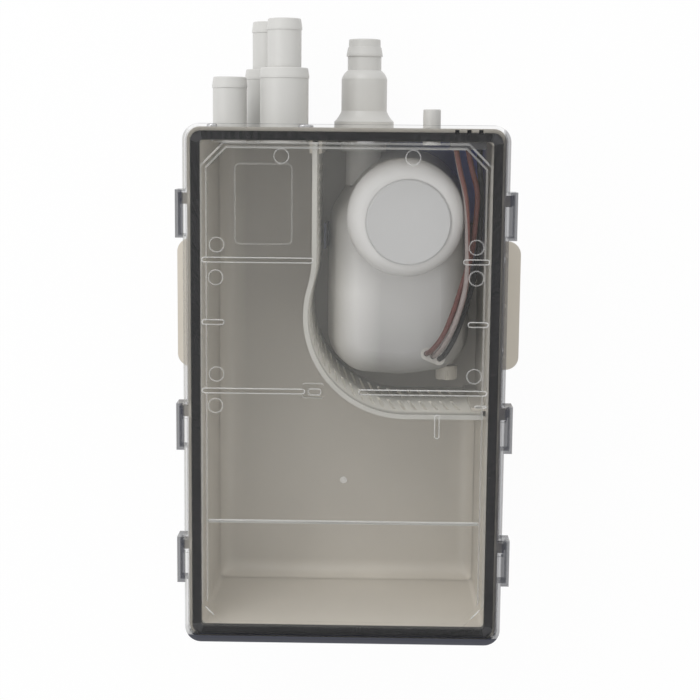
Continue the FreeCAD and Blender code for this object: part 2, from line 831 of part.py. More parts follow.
def discharge_seals():
    wall_seal = ring(tube_radius - oring_thick + 0.02, chamber_radius - 0.02,
                     seal_places()[0] + 0.1, seal_places()[0] + oring_width - 0.1)
    inner = tube_bore + tube_spigot_wall
    pump_seal = ring(inner + 0.02, nozzle_bore() - 0.02, seal_places()[1], seal_places()[1] + 2.0)
    return Part.makeCompound([wall_seal, pump_seal])


def check_flap():
    y = seat_y()
    z = flap_pivot_z()
    disc = rod(flap_radius, vec(outlet_x, y + 0.02, outlet_z), vec(outlet_x, y + flap_thick, outlet_z))
    half = flap_ear_gap - 0.2
    knuckle = flap_axle(flap_ear_radius + 0.15, half)
    strap = block(outlet_x - half, outlet_x + half, y + 0.3, y + flap_pivot_out, outlet_z + 2.0, z)
    boss = rod(3.0, vec(outlet_x, y + flap_thick - 0.3, outlet_z), vec(outlet_x, y + flap_thick + 0.8,
                                                                       outlet_z))
    reach = flap_ear_gap + flap_ear_thick + 0.3
    low = z - flap_ear_radius - 0.3
    notches = [block(outlet_x - reach, outlet_x - half, y - 1, y + 5, low, z + 5),
               block(outlet_x + half, outlet_x + reach, y - 1, y + 5, low, z + 5)]
    flap = fused([disc.cut(notches), knuckle, strap, boss])
    return flap.cut(flap_axle(flap_pin_radius + running_gap, half + 1))


def flap_axle(radius, half):
    y = seat_y() + flap_pivot_out
    return rod(radius, vec(outlet_x - half, y, flap_pivot_z()), vec(outlet_x + half, y, flap_pivot_z()))


def flap_pin():
    return flap_axle(flap_pin_radius, flap_ear_gap + flap_ear_thick)


def vent_spigot():
    offset = half_y - wall_y
    tail = -wall_thick - 2.0
    steps = [(vent_radius, tail), (vent_radius, 0), (vent_collar_radius, 0),
             (vent_collar_radius, vent_collar_thick), (vent_radius, vent_collar_thick),
             (vent_radius, offset + vent_reach - 0.5), (vent_radius - 0.5, offset + vent_reach),
             (vent_bore, offset + vent_reach)]
    return turned((vent_bore, tail), steps, vec(vent_x, wall_y, vent_z), vec(0, 1, 0))


def wire_connector():
    half = connector_width / 2 - 0.1
    outer_y = half_y - lid_inset + 0.1
    body = block(connector_x - half, connector_x + half, lead_end_y, outer_y,
                 connector_low + 0.1, connector_high - 0.1)
    flange = block(connector_x - half - 1.6, connector_x + half + 1.6, wall_y, wall_y + 1.4,
                   connector_low - 1.6, shelf_under)
    body = body.fuse(flange)
    cuts = []
    for step in (-1, 0, 1):
        x = connector_x + step * connector_pitch
        side = connector_cavity / 2
        cuts.append(block(x - side, x + side, wall_y - 1.0, outer_y - connector_front, terminal_z - side,
                          connector_high + 1))
        cuts.append(rod(terminal_radius + 0.05, vec(x, lead_end_y - 1, terminal_z),
                        vec(x, wall_y, terminal_z)))
    return body.cut(cuts)


def connector_terminals():
    return Part.makeCompound([rod(terminal_radius,
                                  vec(connector_x + step * connector_pitch, lead_end_y, terminal_z),
                                  vec(connector_x + step * connector_pitch, wall_y + 2.5, terminal_z))
                              for step in (-1, 0, 1)])


def curtain_wire(grow, z):
    # Plan of one face of the curtain, from the end wall round to the side wall.
    angle, large_x, large_y, small_x, small_y = curtain_centres()
    inner = curtain_large_radius - grow
    outer = curtain_small_radius + grow

    def large(a):
        return (large_x + inner * math.cos(a), large_y + inner * math.sin(a))

    def small(a):
        return (small_x + outer * math.cos(a), small_y + outer * math.sin(a))

    start = (curtain_x + grow, inner_wall_y - curtain_end_gap)
    meet = math.pi - angle
    steps = [(curtain_x + grow, small_y), small(-angle / 2) + small(-angle),
             large((meet + 1.5 * math.pi) / 2) + large(1.5 * math.pi),
             (curtain_end_x(), curtain_low_y + grow)]
    return start, steps


def curtain_point(distance):
    # Point and heading on the middle line of the curtain at a distance from its start.
    angle, large_x, large_y, small_x, small_y = curtain_centres()
    straight = inner_wall_y - curtain_end_gap - small_y
    if distance < straight:
        return curtain_x, small_y + straight - distance, -math.pi / 2
    distance -= straight
    if distance < curtain_small_radius * angle:
        a = -distance / curtain_small_radius
        return (small_x + curtain_small_radius * math.cos(a), small_y + curtain_small_radius * math.sin(a),
                a - math.pi / 2)
    distance -= curtain_small_radius * angle
    sweep = math.pi / 2 + angle
    if distance < curtain_large_radius * sweep:
        a = math.pi - angle + distance / curtain_large_radius
        return (large_x + curtain_large_radius * math.cos(a), large_y + curtain_large_radius * math.sin(a),
                a + math.pi / 2)
    distance -= curtain_large_radius * sweep
    return large_x + distance, curtain_low_y, 0.0


def curtain_length():
    angle, large_x, large_y, small_x, small_y = curtain_centres()
    return (inner_wall_y - curtain_end_gap - small_y + curtain_small_radius * angle
            + curtain_large_radius * (math.pi / 2 + angle) + curtain_end_x() - large_x)


def strainer_curtain():
    low = floor_thick + curtain_floor_gap
    start, steps = curtain_wire(curtain_thick / 2, low)
    back_start, back = curtain_wire(-curtain_thick / 2, low)
    # The far face is walked backwards, so each arc's end becomes its start.
    ends = [back_start] + [step[-2:] for step in back]
    returns = [ends[-1]]
    for i in range(len(back) - 1, -1, -1):
        returns.append(back[i][:-2] + ends[i])
    wire = outline(start, steps + returns, lambda x, y: vec(x, y, low))
    strip = Part.Face(wire).extrude(vec(0, 0, curtain_top - low))
    count = int((curtain_length() - 2 * guide_depth - slit_pitch) / slit_pitch)
    slits = []
    for i in range(count):
        x, y, heading = curtain_point(guide_depth + slit_pitch * (i + 1))
        for bottom in slit_rows:
            slit = block(-slit_width / 2, slit_width / 2, -curtain_thick, curtain_thick, 0, slit_height)
            slit.rotate(vec(0, 0, 0), vec(0, 1, 0), slit_lean)
            slit.rotate(vec(0, 0, 0), vec(0, 0, 1), math.degrees(heading))
            slit.translate(vec(x, y, bottom))
            slits.append(slit)
    return strip.cut(slits)


def pump_strainer_base():
    low = floor_thick
    outer = hull_slab(body_circles, strainer_flange, low, strainer_top)
    hollow = hull_slab(body_circles, strainer_flange - body_wall, low + strainer_floor, strainer_top + 1)
    tray = outer.cut(hollow)
    length = hull_wire(body_circles, 0, low).Length
    count = int(length / strainer_slot_pitch)
    edge = hull_wire(body_circles, strainer_flange - body_wall / 2, low)
    places = edge.discretize(count + 1)
    slots = []
    for i in range(count):
        here = places[i]
        run = places[i + 1] - here
        slot = block(-strainer_slot / 2, strainer_slot / 2, -3, 3, low + strainer_floor, strainer_top - 3)
        slot.rotate(vec(0, 0, 0), vec(0, 0, 1), math.degrees(math.atan2(run.y, run.x)))
        slot.translate(vec(here.x, here.y, 0))
        slots.append(slot)
    pads = [rod(5.6, vec(x, y, low), vec(x, y, low + 6.0)) for x, y in base_screw_places()]
    tray = fused([tray.cut(slots)] + pads + strainer_tabs())
    holes = []
    for x, y in base_screw_places():
        holes.append(rod(4.15, vec(x, y, low - 1), vec(x, y, low + 4.1)))
        holes.append(rod(screw_radius + 0.1, vec(x, y, low), vec(x, y, low + 8.0)))
    return tray.cut(holes)


def strainer_tabs():
    # A springy release tab stands clear of each side of the body on a bridge at its foot.
    tabs = []
    y0 = motor_y - strainer_tab_back - strainer_tab_length / 2
    y1 = y0 + strainer_tab_length
    flange = hull_slab(body_circles, strainer_flange, floor_thick, floor_thick + 1)
    beside = flange.common(block(motor_x - 99, motor_x + 99, y0, y1, 0, floor_thick + 2)).BoundBox
    for side, edge in ((-1, beside.XMin), (1, beside.XMax)):
        near = edge + side * strainer_tab_gap
        far = near + side * strainer_tab_thick
        x0, x1 = sorted((near, far))
        tabs.append(block(x0, x1, y0, y1, floor_thick, strainer_tab_top))
        b0, b1 = sorted((edge - side * 4.0, far))
        tabs.append(block(b0, b1, y0, y1, floor_thick, floor_thick + 3.0))
        tabs.append(block(b0, b1, y0 + 5.0, y1 - 5.0, floor_thick, floor_thick + 8.0))
    return tabs


def base_screws():
    z = floor_thick + 6.0
    return Part.makeCompound([screw(x, y, z, vec(0, 0, 1), 3.0, 2.2) for x, y in base_screw_places()])


def volute_wire(z):
    # Spiral chamber: quarter arcs that grow clockwise and run out into the nozzle.
    top, right, bottom, left = volute_radii
    diagonal = math.sqrt(0.5)
    tongue = volute_tongue

    def between(a, b, sx, sy):
        mean = (a + b) / 2 * diagonal
        return (sx * mean, sy * mean)

    tongue_y = math.sqrt((top - 0.6) ** 2 - tongue ** 2)
    first = (top - 0.3) * 0.94
    steps = [between(top, right, 1, 1) + (right, 0), between(right, bottom, 1, -1) + (0, -bottom),
             between(bottom, left, -1, -1) + (-left, 0), (-left, 26.0), (-tongue, 26.0),
             (-tongue, tongue_y),
             (-first * math.sin(0.4), first * math.cos(0.4) + 0.6) + (0, top)]
    return outline((0, top), steps, lambda x, y: vec(motor_x + x, motor_y + y, z))


def nozzle_bore():
    return tube_bore + tube_spigot_wall + 0.7


def float_room(grow, z0, z1):
    return hull_slab(room_circles, grow, z0, z1)


def pump_lower_housing():
    outer = Part.makeLoft([hull_wire(body_circles, strainer_flange, strainer_top),
                           hull_wire(body_circles, 0, deck_top)], True, True)
    skirt_hollow = hull_slab(body_circles, -body_wall, strainer_top - 1, volute_under - volute_cover_thick)
    chamber = Part.Face(volute_wire(volute_under - volute_cover_thick)).extrude(
        vec(0, 0, volute_roof - volute_under + volute_cover_thick))
    nozzle = rod(tube_radius, vec(outlet_x, motor_y + 16.0, outlet_z), vec(outlet_x, nozzle_end_y, outlet_z))
    room = float_room(0, strainer_top - 1, deck_under)
    seat = motor_rod(seal_radius, volute_roof + seal_web, deck_top + 1)
    shaft_hole = motor_rod(shaft_radius + 0.4, volute_roof - 1, deck_top)
    body = fused([outer, nozzle])
    bore = rod(nozzle_bore(), vec(outlet_x, motor_y + 20.0, outlet_z),
               vec(outlet_x, nozzle_end_y + 1, outlet_z))
    throat = rod(8.0, vec(outlet_x, motor_y, outlet_z), vec(outlet_x, motor_y + 21.0, outlet_z))
    pocket = hull_slab(body_circles, -body_wall, can_under, deck_top + 1)
    bush_seat = rod(bush_radius, vec(spindle_x, knob_seat_y, spindle_z),
                    vec(spindle_x, knob_seat_y + bush_length, spindle_z))
    knob_recess = rod(knob_radius + 0.6, vec(spindle_x, knob_seat_y - 12, spindle_z),
                      vec(spindle_x, knob_seat_y, spindle_z))
    spindle_way = rod(spindle_radius + 0.4, vec(spindle_x, knob_seat_y - 2, spindle_z),
                      vec(spindle_x, knob_seat_y + 12, spindle_z))
    return body.cut([skirt_hollow, chamber, bore, throat, room, seat, shaft_hole, pocket, bush_seat,
                     knob_recess, spindle_way])


def volute_cover():
    z0 = volute_under - volute_cover_thick
    plate = Part.Face(volute_wire(z0)).extrude(vec(0, 0, volute_cover_thick))
    nose = rod(eye_radius + 2.0, vec(motor_x, motor_y, z0 - 3.0), vec(motor_x, motor_y, z0))
    widest = volute_radii[3]
    trim = rod(widest * 2, vec(motor_x, motor_y, z0 - 5), vec(motor_x, motor_y, z0 + 5)).cut(
        rod(widest - 0.3, vec(motor_x, motor_y, z0 - 5), vec(motor_x, motor_y, z0 + 5)))
    plate = plate.cut(trim)
    eye = turned((0, -4), [(eye_radius + 1.2, -4), (eye_radius, 0), (eye_radius, 3), (0, 3)],
                 vec(motor_x, motor_y, z0), vec(0, 0, 1))
    return fused([plate, nose]).cut(eye)


def upper_form(shrink, crown):
    # The low shoulder over the float and the tall dome over the motor, less a wall.
    low = deck_top + housing_seam
    top = low + shoulder_steps[-1][0]
    circles = [(x, y, r) for x, y, r in body_circles]
    sections = [hull_wire(circles, -shrink, low)]
    for rise, inset in shoulder_steps:
        grow = -inset - shrink * 0.55
        sections.append(hull_wire(circles, grow, low + rise - crown * rise / shoulder_steps[-1][0]))
    shoulder = Part.makeLoft(sections, True, False)
    r = dome_radius - shrink
    high = dome_top - crown
    bend = dome_round - shrink
    steps = [(r, low), (r, high - bend),
             (r - bend * (1 - math.sqrt(0.5)), high - bend * (1 - math.sqrt(0.5)), r - bend, high), (0,
                                                                                                     high)]
    dome = turned((0, low), steps, vec(motor_x, motor_y, 0), vec(0, 0, 1))
    return shoulder.fuse(dome)


def pump_upper_housing():
    outer = upper_form(0, 0)
    inner = upper_form(body_wall, body_wall)
    shell = outer.cut(inner)
    recess = rod(label_radius + 0.15, vec(motor_x + label_shift_x, motor_y + label_shift_y, dome_top - 0.6),
                 vec(motor_x + label_shift_x, motor_y + label_shift_y, dome_top + 1))
    hole = gland_form(gland_length - 2.4, gland_width - 2.4, 0, gland_top + 1)
    return shell.cut([recess, hole])


def label_disc():
    z = dome_top - 0.6
    steps = [(label_radius, 0), (label_radius, label_thick), (label_radius - 0.9, label_thick + 0.7),
             (0, label_thick + 0.7)]
    return turned((0, 0), steps, vec(motor_x + label_shift_x, motor_y + label_shift_y, z), vec(0, 0, 1))


def housing_seal():
    z0 = deck_top
    ring_outer = hull_slab(body_circles, -0.5, z0, z0 + housing_seam)
    return ring_outer.cut(hull_slab(body_circles, -body_wall + 0.3, z0, z0 + housing_seam))


def motor_ring(inner, outer, z0, z1):
    return rod(outer, vec(motor_x, motor_y, z0), vec(motor_x, motor_y, z1)).cut(
        rod(inner, vec(motor_x, motor_y, z0), vec(motor_x, motor_y, z1)))


def motor_rod(radius, z0, z1):
    return rod(radius, vec(motor_x, motor_y, z0), vec(motor_x, motor_y, z1))


def motor_can():
    steps = [(can_radius, can_under + end_plate_thick), (can_radius, can_top - 2.0),
             (can_radius - 0.6, can_top - 0.6, can_radius - 2.0, can_top),
             (bearing_radius + 1.2, can_top), (bearing_radius + 1.2, can_top + 2.0),
             (shaft_radius + 0.8, can_top + 2.0), (shaft_radius + 0.8, can_top),
             (bearing_radius, can_top), (bearing_radius, can_top - bearing_height + 0.5),
             (bearing_radius + 1.2, can_top - bearing_height + 0.5),
             (bearing_radius + 1.2, can_top - can_wall), (can_radius - can_wall, can_top - can_wall - 1.0),
             (can_radius - can_wall, can_under + end_plate_thick)]
    return turned(steps[0], steps[1:], vec(motor_x, motor_y, 0), vec(0, 0, 1))


def motor_end_plate():
    plate = motor_rod(can_radius, can_under, can_under + end_plate_thick)
    spigot = motor_rod(can_radius - can_wall - 0.05, can_under + end_plate_thick, can_under + 3.2)
    boss = motor_rod(bearing_radius + 1.5, can_under + 3.2, can_under + end_plate_thick + bearing_height)
    cuts = [motor_rod(bearing_radius, can_under + end_plate_thick, can_under + 10.0),
            motor_rod(shaft_radius + 0.6, 0, can_under + 3)]
    for step in range(4):
        angle = math.radians(45 + 90 * step)
        x = motor_x + 11.0 * math.cos(angle)
        y = motor_y + 11.0 * math.sin(angle)
        cuts.append(rod(1.8, vec(x, y, can_under - 1), vec(x, y, can_under + 4)))
    return fused([plate, spigot, boss]).cut(cuts)


def bearing(z0):
    inner = shaft_radius + running_gap
    steps = [(bearing_radius, z0), (bearing_radius, z0 + bearing_height - 0.4),
             (bearing_radius - 0.4, z0 + bearing_height), (inner + 0.3, z0 + bearing_height),
             (inner, z0 + bearing_height - 0.3)]
    return turned((inner, z0), steps, vec(motor_x, motor_y, 0), vec(0, 0, 1))


def upper_bearing():
    return bearing(can_top - bearing_height)


def lower_bearing():
    return bearing(can_under + end_plate_thick)


def motor_magnets():
    outer = can_radius - can_wall - 0.02
    inner = core_radius + magnet_gap
    ring_shape = motor_ring(inner, outer, core_under - 1.0, core_top + 1.0)
    gap = block(motor_x - 30, motor_x + 30, motor_y - 4.5, motor_y + 4.5, 0, 100)
    return ring_shape.cut(gap)


def shaft_seal():
    low = volute_roof + seal_web
    high = low + seal_height
    lip = shaft_radius + running_gap
    steps = [(seal_radius, low), (seal_radius, high), (seal_radius - 0.8, high), (seal_radius - 0.8,
                                                                                  low + 1.0),
             (lip + 1.2, low + 1.0), (lip + 0.7, high - 0.5), (lip, high - 0.5), (lip, low)]
    return turned(steps[0], steps[1:], vec(motor_x, motor_y, 0), vec(0, 0, 1))


def motor_shaft():
    return motor_rod(shaft_radius, impeller_under - 1.0, shaft_top)


def armature_core():
    core = motor_rod(core_radius, core_under, core_top)
    cuts = [motor_rod(shaft_radius, 0, 100)]
    for step in range(core_slots):
        slot = block(core_radius - 4.6, core_radius + 1, -1.0, 1.0, core_under - 1, core_top + 1)
        slot = slot.fuse(rod(1.9, vec(core_radius - 4.0, 0, core_under - 1), vec(core_radius - 4.0, 0,
                                                                                 core_top + 1)))
        slot.rotate(vec(0, 0, 0), vec(0, 0, 1), 360.0 * step / core_slots)
        slot.translate(vec(motor_x, motor_y, 0))
        cuts.append(slot)
    return core.cut(cuts)


def armature_windings():
    rings = []
    for low, grow in ((core_under, -1), (core_top, 1)):
        far = low + grow * winding_height
        bow = (winding_radius - 2.0 + shaft_radius + 2.0) / 2
        steps = [(winding_radius, low), (winding_radius, low + grow * winding_height * 0.5),
                 (bow, far, shaft_radius + 1.2, low + grow * winding_height * 0.6), (shaft_radius + 0.5,
                                                                                     low)]
        rings.append(turned((shaft_radius + 0.5, low), steps[:3], vec(motor_x, motor_y, 0), vec(0, 0, 1)))
    return Part.makeCompound(rings)


def commutator_low():
    return core_top + winding_height + 0.6


def commutator():
    low = commutator_low()
    drum = motor_rod(commutator_radius, low, low + commutator_height)
    cuts = [motor_rod(shaft_radius, 0, 100)]
    for step in range(core_slots):
        slot = block(commutator_radius - 0.8, commutator_radius + 1, -0.25, 0.25, low - 1, low + 10)
        slot.rotate(vec(0, 0, 0), vec(0, 0, 1), 360.0 * (step + 0.5) / core_slots)
        slot.translate(vec(motor_x, motor_y, 0))
        cuts.append(slot)
    return drum.cut(cuts)


def brush_z():
    return commutator_low() + commutator_height / 2


def brush_pair(start, end, size):
    z = brush_z()
    pair = []
    for side in (-1, 1):
        x0, x1 = sorted((motor_x + side * start, motor_x + side * end))
        pair.append(block(x0, x1, motor_y - size / 2, motor_y + size / 2, z - size / 2, z + size / 2))
    return pair


def brushes():
    start = commutator_radius + 0.08
    return Part.makeCompound(brush_pair(start, start + brush_length, brush_size))


def brush_springs():
    # Each spring is drawn as the sleeve that its coils fill.
    start = commutator_radius + 0.08 + brush_length
    z = brush_z()
    springs = []
    for side in (-1, 1):
        a = vec(motor_x + side * start, motor_y, z)
        b = vec(motor_x + side * (start + spring_length), motor_y, z)
        springs.append(rod(1.3, a, b).cut(rod(0.8, a, b)))
    return Part.makeCompound(springs)


def brush_card():
    z = brush_z()
    size = brush_size
    far = commutator_radius + 0.08 + brush_length + spring_length
    z0 = z - size / 2 - brush_card_thick
    card = motor_ring(commutator_radius + 1.2, can_radius - can_wall - 0.02, z0, z0 + brush_card_thick)
    pieces = [card]
    for side in (-1, 1):
        near = motor_x + side * (commutator_radius + 1.6)
        end = motor_x + side * (far + 1.2)
        x0, x1 = sorted((near, end))
        sleeve = block(x0, x1, motor_y - size / 2 - 1.0, motor_y + size / 2 + 1.0, z0, z + size / 2 + 1.0)
        pieces.append(sleeve)
    whole = fused(pieces)
    return whole.cut(brush_pair(0.5, far, size + 0.06))


def impeller():
    hub_low = impeller_under
    disc_low = impeller_under + vane_height
    disc = motor_rod(impeller_radius, disc_low, disc_low + impeller_disc)
    hub = turned((0, hub_low), [(2.0, hub_low), (3.6, hub_low + 2.0), (4.4, disc_low), (0, disc_low)],
                 vec(motor_x, motor_y, 0), vec(0, 0, 1))
    collar = motor_rod(3.4, disc_low, disc_low + impeller_disc + 1.6)
    vanes = []
    for step in range(vane_count):
        vane = vane_form()
        vane.rotate(vec(0, 0, 0), vec(0, 0, 1), 360.0 * step / vane_count)
        vane.translate(vec(motor_x, motor_y, 0))
        vanes.append(vane)
    whole = fused([disc, hub, collar] + vanes)
    return whole.cut(motor_rod(shaft_radius, 0, 100))


def vane_form():
    # A backward curved blade: two arcs from the hub to the rim, a blade apart.
    z = impeller_under
    sweep = math.radians(vane_sweep)
    tip = impeller_radius - 0.2
    thick = vane_thick / 2

    def arc_points(shift):
        root = (2.6, shift)
        middle = (tip * 0.55 * math.cos(sweep * 0.3) - shift * math.sin(sweep * 0.3),
                  tip * 0.55 * math.sin(sweep * 0.3) + shift * math.cos(sweep * 0.3))
        end_radius = tip
        end = (end_radius * math.cos(sweep - shift / tip * -1.0), end_radius * math.sin(sweep + shift / tip))
        return root, middle, end

    r0, m0, e0 = arc_points(thick)
    r1, m1, e1 = arc_points(-thick)
    wire = outline(r0, [m0 + e0, e1, m1 + r1], lambda x, y: vec(x, y, z))
    return Part.Face(wire).extrude(vec(0, 0, vane_height + 0.5))


def float_body():
    body = rounded_slab(float_low_x, float_high_x, float_low_y, float_high_y, float_corner,
                        float_under, float_under + float_height)
    body = body.makeFillet(2.5,
                           [edge for edge in body.Edges if abs(edge.CenterOfMass.z - float_under) < 0.01])
    middle = (float_low_y + float_high_y) / 2
    top = float_under + float_height
    side = [(float_high_x - 4, top - 1), (float_high_x, top - arm_height), (spindle_x + 1,
                                                                            spindle_z - arm_thick),
            (spindle_x, spindle_z + arm_thick - 1), (float_high_x - 8, top)]
    corners = [vec(x, middle - hub_length / 2 + 1.0, z) for x, z in side]
    arm = Part.Face(Part.makePolygon(corners + corners[:1])).extrude(vec(0, hub_length - 2.0, 0))
    hub = rod(hub_radius, vec(spindle_x, middle - hub_length / 2, spindle_z),
              vec(spindle_x, middle + hub_length / 2, spindle_z))
    whole = fused([body, arm, hub])
    pocket = rod(magnet_radius, vec(float_high_x - 6, middle, float_under + float_height - magnet_height),
                 vec(float_high_x - 6, middle, float_under + float_height + 1))
    return whole.cut([pocket, rod(spindle_radius, vec(spindle_x, middle - hub_length, spindle_z),
                                  vec(spindle_x, middle + hub_length, spindle_z))])


def float_magnet():
    middle = (float_low_y + float_high_y) / 2
    return rod(magnet_radius, vec(float_high_x - 6, middle, float_under + float_height - magnet_height),
               vec(float_high_x - 6, middle, float_under + float_height))


def float_spindle():
    middle = (float_low_y + float_high_y) / 2
    start = knob_seat_y - knob_gap - knob_length + 2.0
    return rod(spindle_radius, vec(spindle_x, start, spindle_z), vec(spindle_x, middle + hub_length / 2,
                                                                     spindle_z))


def spindle_bush():
    start = vec(spindle_x, knob_seat_y, spindle_z)
    end = vec(spindle_x, knob_seat_y + bush_length, spindle_z)
    return rod(bush_radius, start, end).cut(rod(spindle_radius + running_gap, start, end))


def test_knob():
    face = knob_seat_y - knob_gap
    end = face - knob_length
    steps = [(0, 0), (knob_radius, 0), (knob_radius, knob_length - 1.0),
             (knob_radius - 0.3, knob_length - 0.3, knob_radius - 1.0, knob_length), (0, knob_length)]
    knob = turned(steps[0], steps[1:], vec(spindle_x, face, spindle_z), vec(0, -1, 0))
    cuts = [rod(spindle_radius, vec(spindle_x, end + 2.0, spindle_z), vec(spindle_x, face + 1, spindle_z))]
    for step in range(knob_grips):
        angle = 2 * math.pi * (step + 0.5) / knob_grips
        x = spindle_x + (knob_radius + 0.6) * math.cos(angle)
        z = spindle_z + (knob_radius + 0.6) * math.sin(angle)
        cuts.append(rod(1.3, vec(x, end - 1, z), vec(x, end + knob_length * 0.75, z)))
    return knob.cut(cuts)


def float_switch():
    x = float_high_x - 6
    y = (float_low_y + float_high_y) / 2
    z0 = deck_top - 2.0 + switch_seat_gap
    case = rounded_slab(x - switch_length / 2, x + switch_length / 2, y - switch_width / 2,
                        y + switch_width / 2,
                        2.0, z0, z0 + switch_height)
    pegs = [rod(0.8, vec(x + side * 4.0, y, z0 + switch_height), vec(x + side * 4.0, y,
                                                                     z0 + switch_height + 3.0))
            for side in (-1, 1)]
    return fused([case] + pegs)


def gland_form(length, width, z0, z1):
    form = rounded_slab(-length / 2, length / 2, -width / 2, width / 2, width * 0.48, z0, z1)
    form.rotate(vec(0, 0, 0), vec(0, 0, 1), gland_turn)
    form.translate(vec(gland_x, gland_y, 0))
    return form


def cable_gland():
    # The gland fills its hole in the shoulder, and its collar lies on the slope outside.
    plug = gland_form(gland_length - 2.6, gland_width - 2.6, deck_top + 12.0, gland_top)
    collar = gland_form(gland_length, gland_width, gland_top - 4.0, gland_top)
    whole = fused([plug, collar])
    ways = []
    for route in lead_routes.values():
        x, y, z = route[0]
        ways.append(rod(lead_radius + running_gap, vec(x, y, z - 1), vec(x, y, gland_top + 1)))
    rim = upper_form(0, 0).cut(gland_form(gland_length - 2.4, gland_width - 2.4, 0, 99))
    return whole.cut([rim] + ways)


def lead(points):
    # Straight runs joined by tangent arcs, each as large as its two runs allow.
    corners = [vec(*point) for point in points]
    edges = []
    radii = []
    here = corners[0]
    for i in range(1, len(corners) - 1):
        back = corners[i - 1] - corners[i]
        on = corners[i + 1] - corners[i]
        shorter = min(back.Length, on.Length)
        back.normalize()
        on.normalize()
        turn = math.pi - back.getAngle(on)
        cut = bend_share * shorter
        radius = cut / math.tan(turn / 2)
        radii.append(radius)
        bisector = back + on
        bisector.normalize()
        start = corners[i] + back * cut
        end = corners[i] + on * cut
        middle = corners[i] + bisector * (math.hypot(radius, cut) - radius)
        edges.append(Part.LineSegment(here, start).toShape())
        edges.append(Part.Arc(start, middle, end).toShape())
        here = end
    edges.append(Part.LineSegment(here, corners[-1]).toShape())
    path = Part.Wire(edges)
    section = Part.Wire([Part.Circle(corners[0], corners[1] - corners[0], lead_radius).toShape()])
    tube = path.makePipeShell([section], True, False)
    ideal = math.pi * lead_radius ** 2 * path.Length
    print("  lead length", round(path.Length, 1), "volume share", round(tube.Volume / ideal, 4),
          "radii", [round(r, 1) for r in radii])
    return tube


rows = {
    "base_tub": base_tub,
    "lid_gasket": lid_gasket,
    "lid": lid,
    "inlet_manifold": inlet_manifold,
    "manifold_gasket": manifold_gasket,
    "manifold_screws": manifold_screws,
    "outlet_fitting": outlet_fitting,
    "outlet_seal": outlet_seal,
    "outlet_clip": outlet_clip,
    "discharge_tube": discharge_tube,
    "discharge_seals": discharge_seals,
    "check_flap": check_flap,
    "flap_pin": flap_pin,
    "vent_spigot": vent_spigot,
    "wire_connector": wire_connector,
    "connector_terminals": connector_terminals,
    "strainer_curtain": strainer_curtain,
    "pump_strainer_base": pump_strainer_base,
    "base_screws": base_screws,
    "pump_lower_housing": pump_lower_housing,
    "volute_cover": volute_cover,
    "housing_seal": housing_seal,
    "pump_upper_housing": pump_upper_housing,
    "label_disc": label_disc,
    "motor_can": motor_can,
    "motor_end_plate": motor_end_plate,
    "motor_magnets": motor_magnets,
    "upper_bearing": upper_bearing,
    "lower_bearing": lower_bearing,
    "shaft_seal": shaft_seal,
    "brush_card": brush_card,
    "brushes": brushes,
    "brush_springs": brush_springs,
    "motor_shaft": motor_shaft,
    "armature_core": armature_core,
    "armature_windings": armature_windings,
    "commutator": commutator,
    "impeller": impeller,
    "float": float_body,
    "float_magnet": float_magnet,
    "float_spindle": float_spindle,
    "spindle_bush": spindle_bush,
    "test_knob": test_knob,
    "float_switch": float_switch,
    "cable_gland": cable_gland,
}

os.makedirs("parts", exist_ok=True)
for name, make in rows.items():
    save(make(), name)
for name, points in lead_routes.items():
    save(lead(points), name)
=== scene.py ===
import math
import bmesh
import bpy
import numpy as np
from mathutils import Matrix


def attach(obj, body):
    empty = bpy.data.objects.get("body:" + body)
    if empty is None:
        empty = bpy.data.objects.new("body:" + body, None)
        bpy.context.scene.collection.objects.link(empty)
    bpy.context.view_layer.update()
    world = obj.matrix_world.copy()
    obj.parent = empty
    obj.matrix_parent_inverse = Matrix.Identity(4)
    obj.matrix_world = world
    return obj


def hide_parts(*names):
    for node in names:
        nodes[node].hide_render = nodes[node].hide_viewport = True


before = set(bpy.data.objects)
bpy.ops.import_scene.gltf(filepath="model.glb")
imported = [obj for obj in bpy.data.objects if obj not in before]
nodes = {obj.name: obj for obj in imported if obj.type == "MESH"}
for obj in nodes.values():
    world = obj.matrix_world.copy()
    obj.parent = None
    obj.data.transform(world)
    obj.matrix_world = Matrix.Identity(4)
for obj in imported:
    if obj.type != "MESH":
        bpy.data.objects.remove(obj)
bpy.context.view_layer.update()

mm = 0.001


# The camera fitted to the photograph.
print("camera")
cameraView = {
    "place": (17.0, 142.8, 938.0),      # millimetres above the sump
    "turn": (-8.19, 1.04, 0.53),        # degrees
    "lens": 78.74,
    "sensor": 36.0,
}
cameraData = bpy.data.cameras.new("photoCamera")
cameraData.lens = cameraView["lens"]
cameraData.sensor_width = cameraView["sensor"]
cameraData.clip_end = 20.0
camera = bpy.data.objects.new("photoCamera", cameraData)
bpy.context.scene.collection.objects.link(camera)
camera.location = [c * mm for c in cameraView["place"]]
camera.rotation_euler = [math.radians(a) for a in cameraView["turn"]]
bpy.context.scene.camera = camera
bpy.context.scene.view_settings.view_transform = "Standard"


# Short ways to build a finish out of nodes.
def newMaterial(name):
    material = bpy.data.materials.new(name)
    material.use_nodes = True
    tree = material.node_tree
    tree.nodes.clear()
    output = tree.nodes.new("ShaderNodeOutputMaterial")
    shader = tree.nodes.new("ShaderNodeBsdfPrincipled")
    tree.links.new(shader.outputs[0], output.inputs["Surface"])
    return material, tree, shader, output


def addNode(tree, kind, **settings):
    node = tree.nodes.new(kind)
    for key, value in settings.items():
        if hasattr(node, key):
            setattr(node, key, value)
        else:
            node.inputs[key.replace("_", " ")].default_value = value
    return node


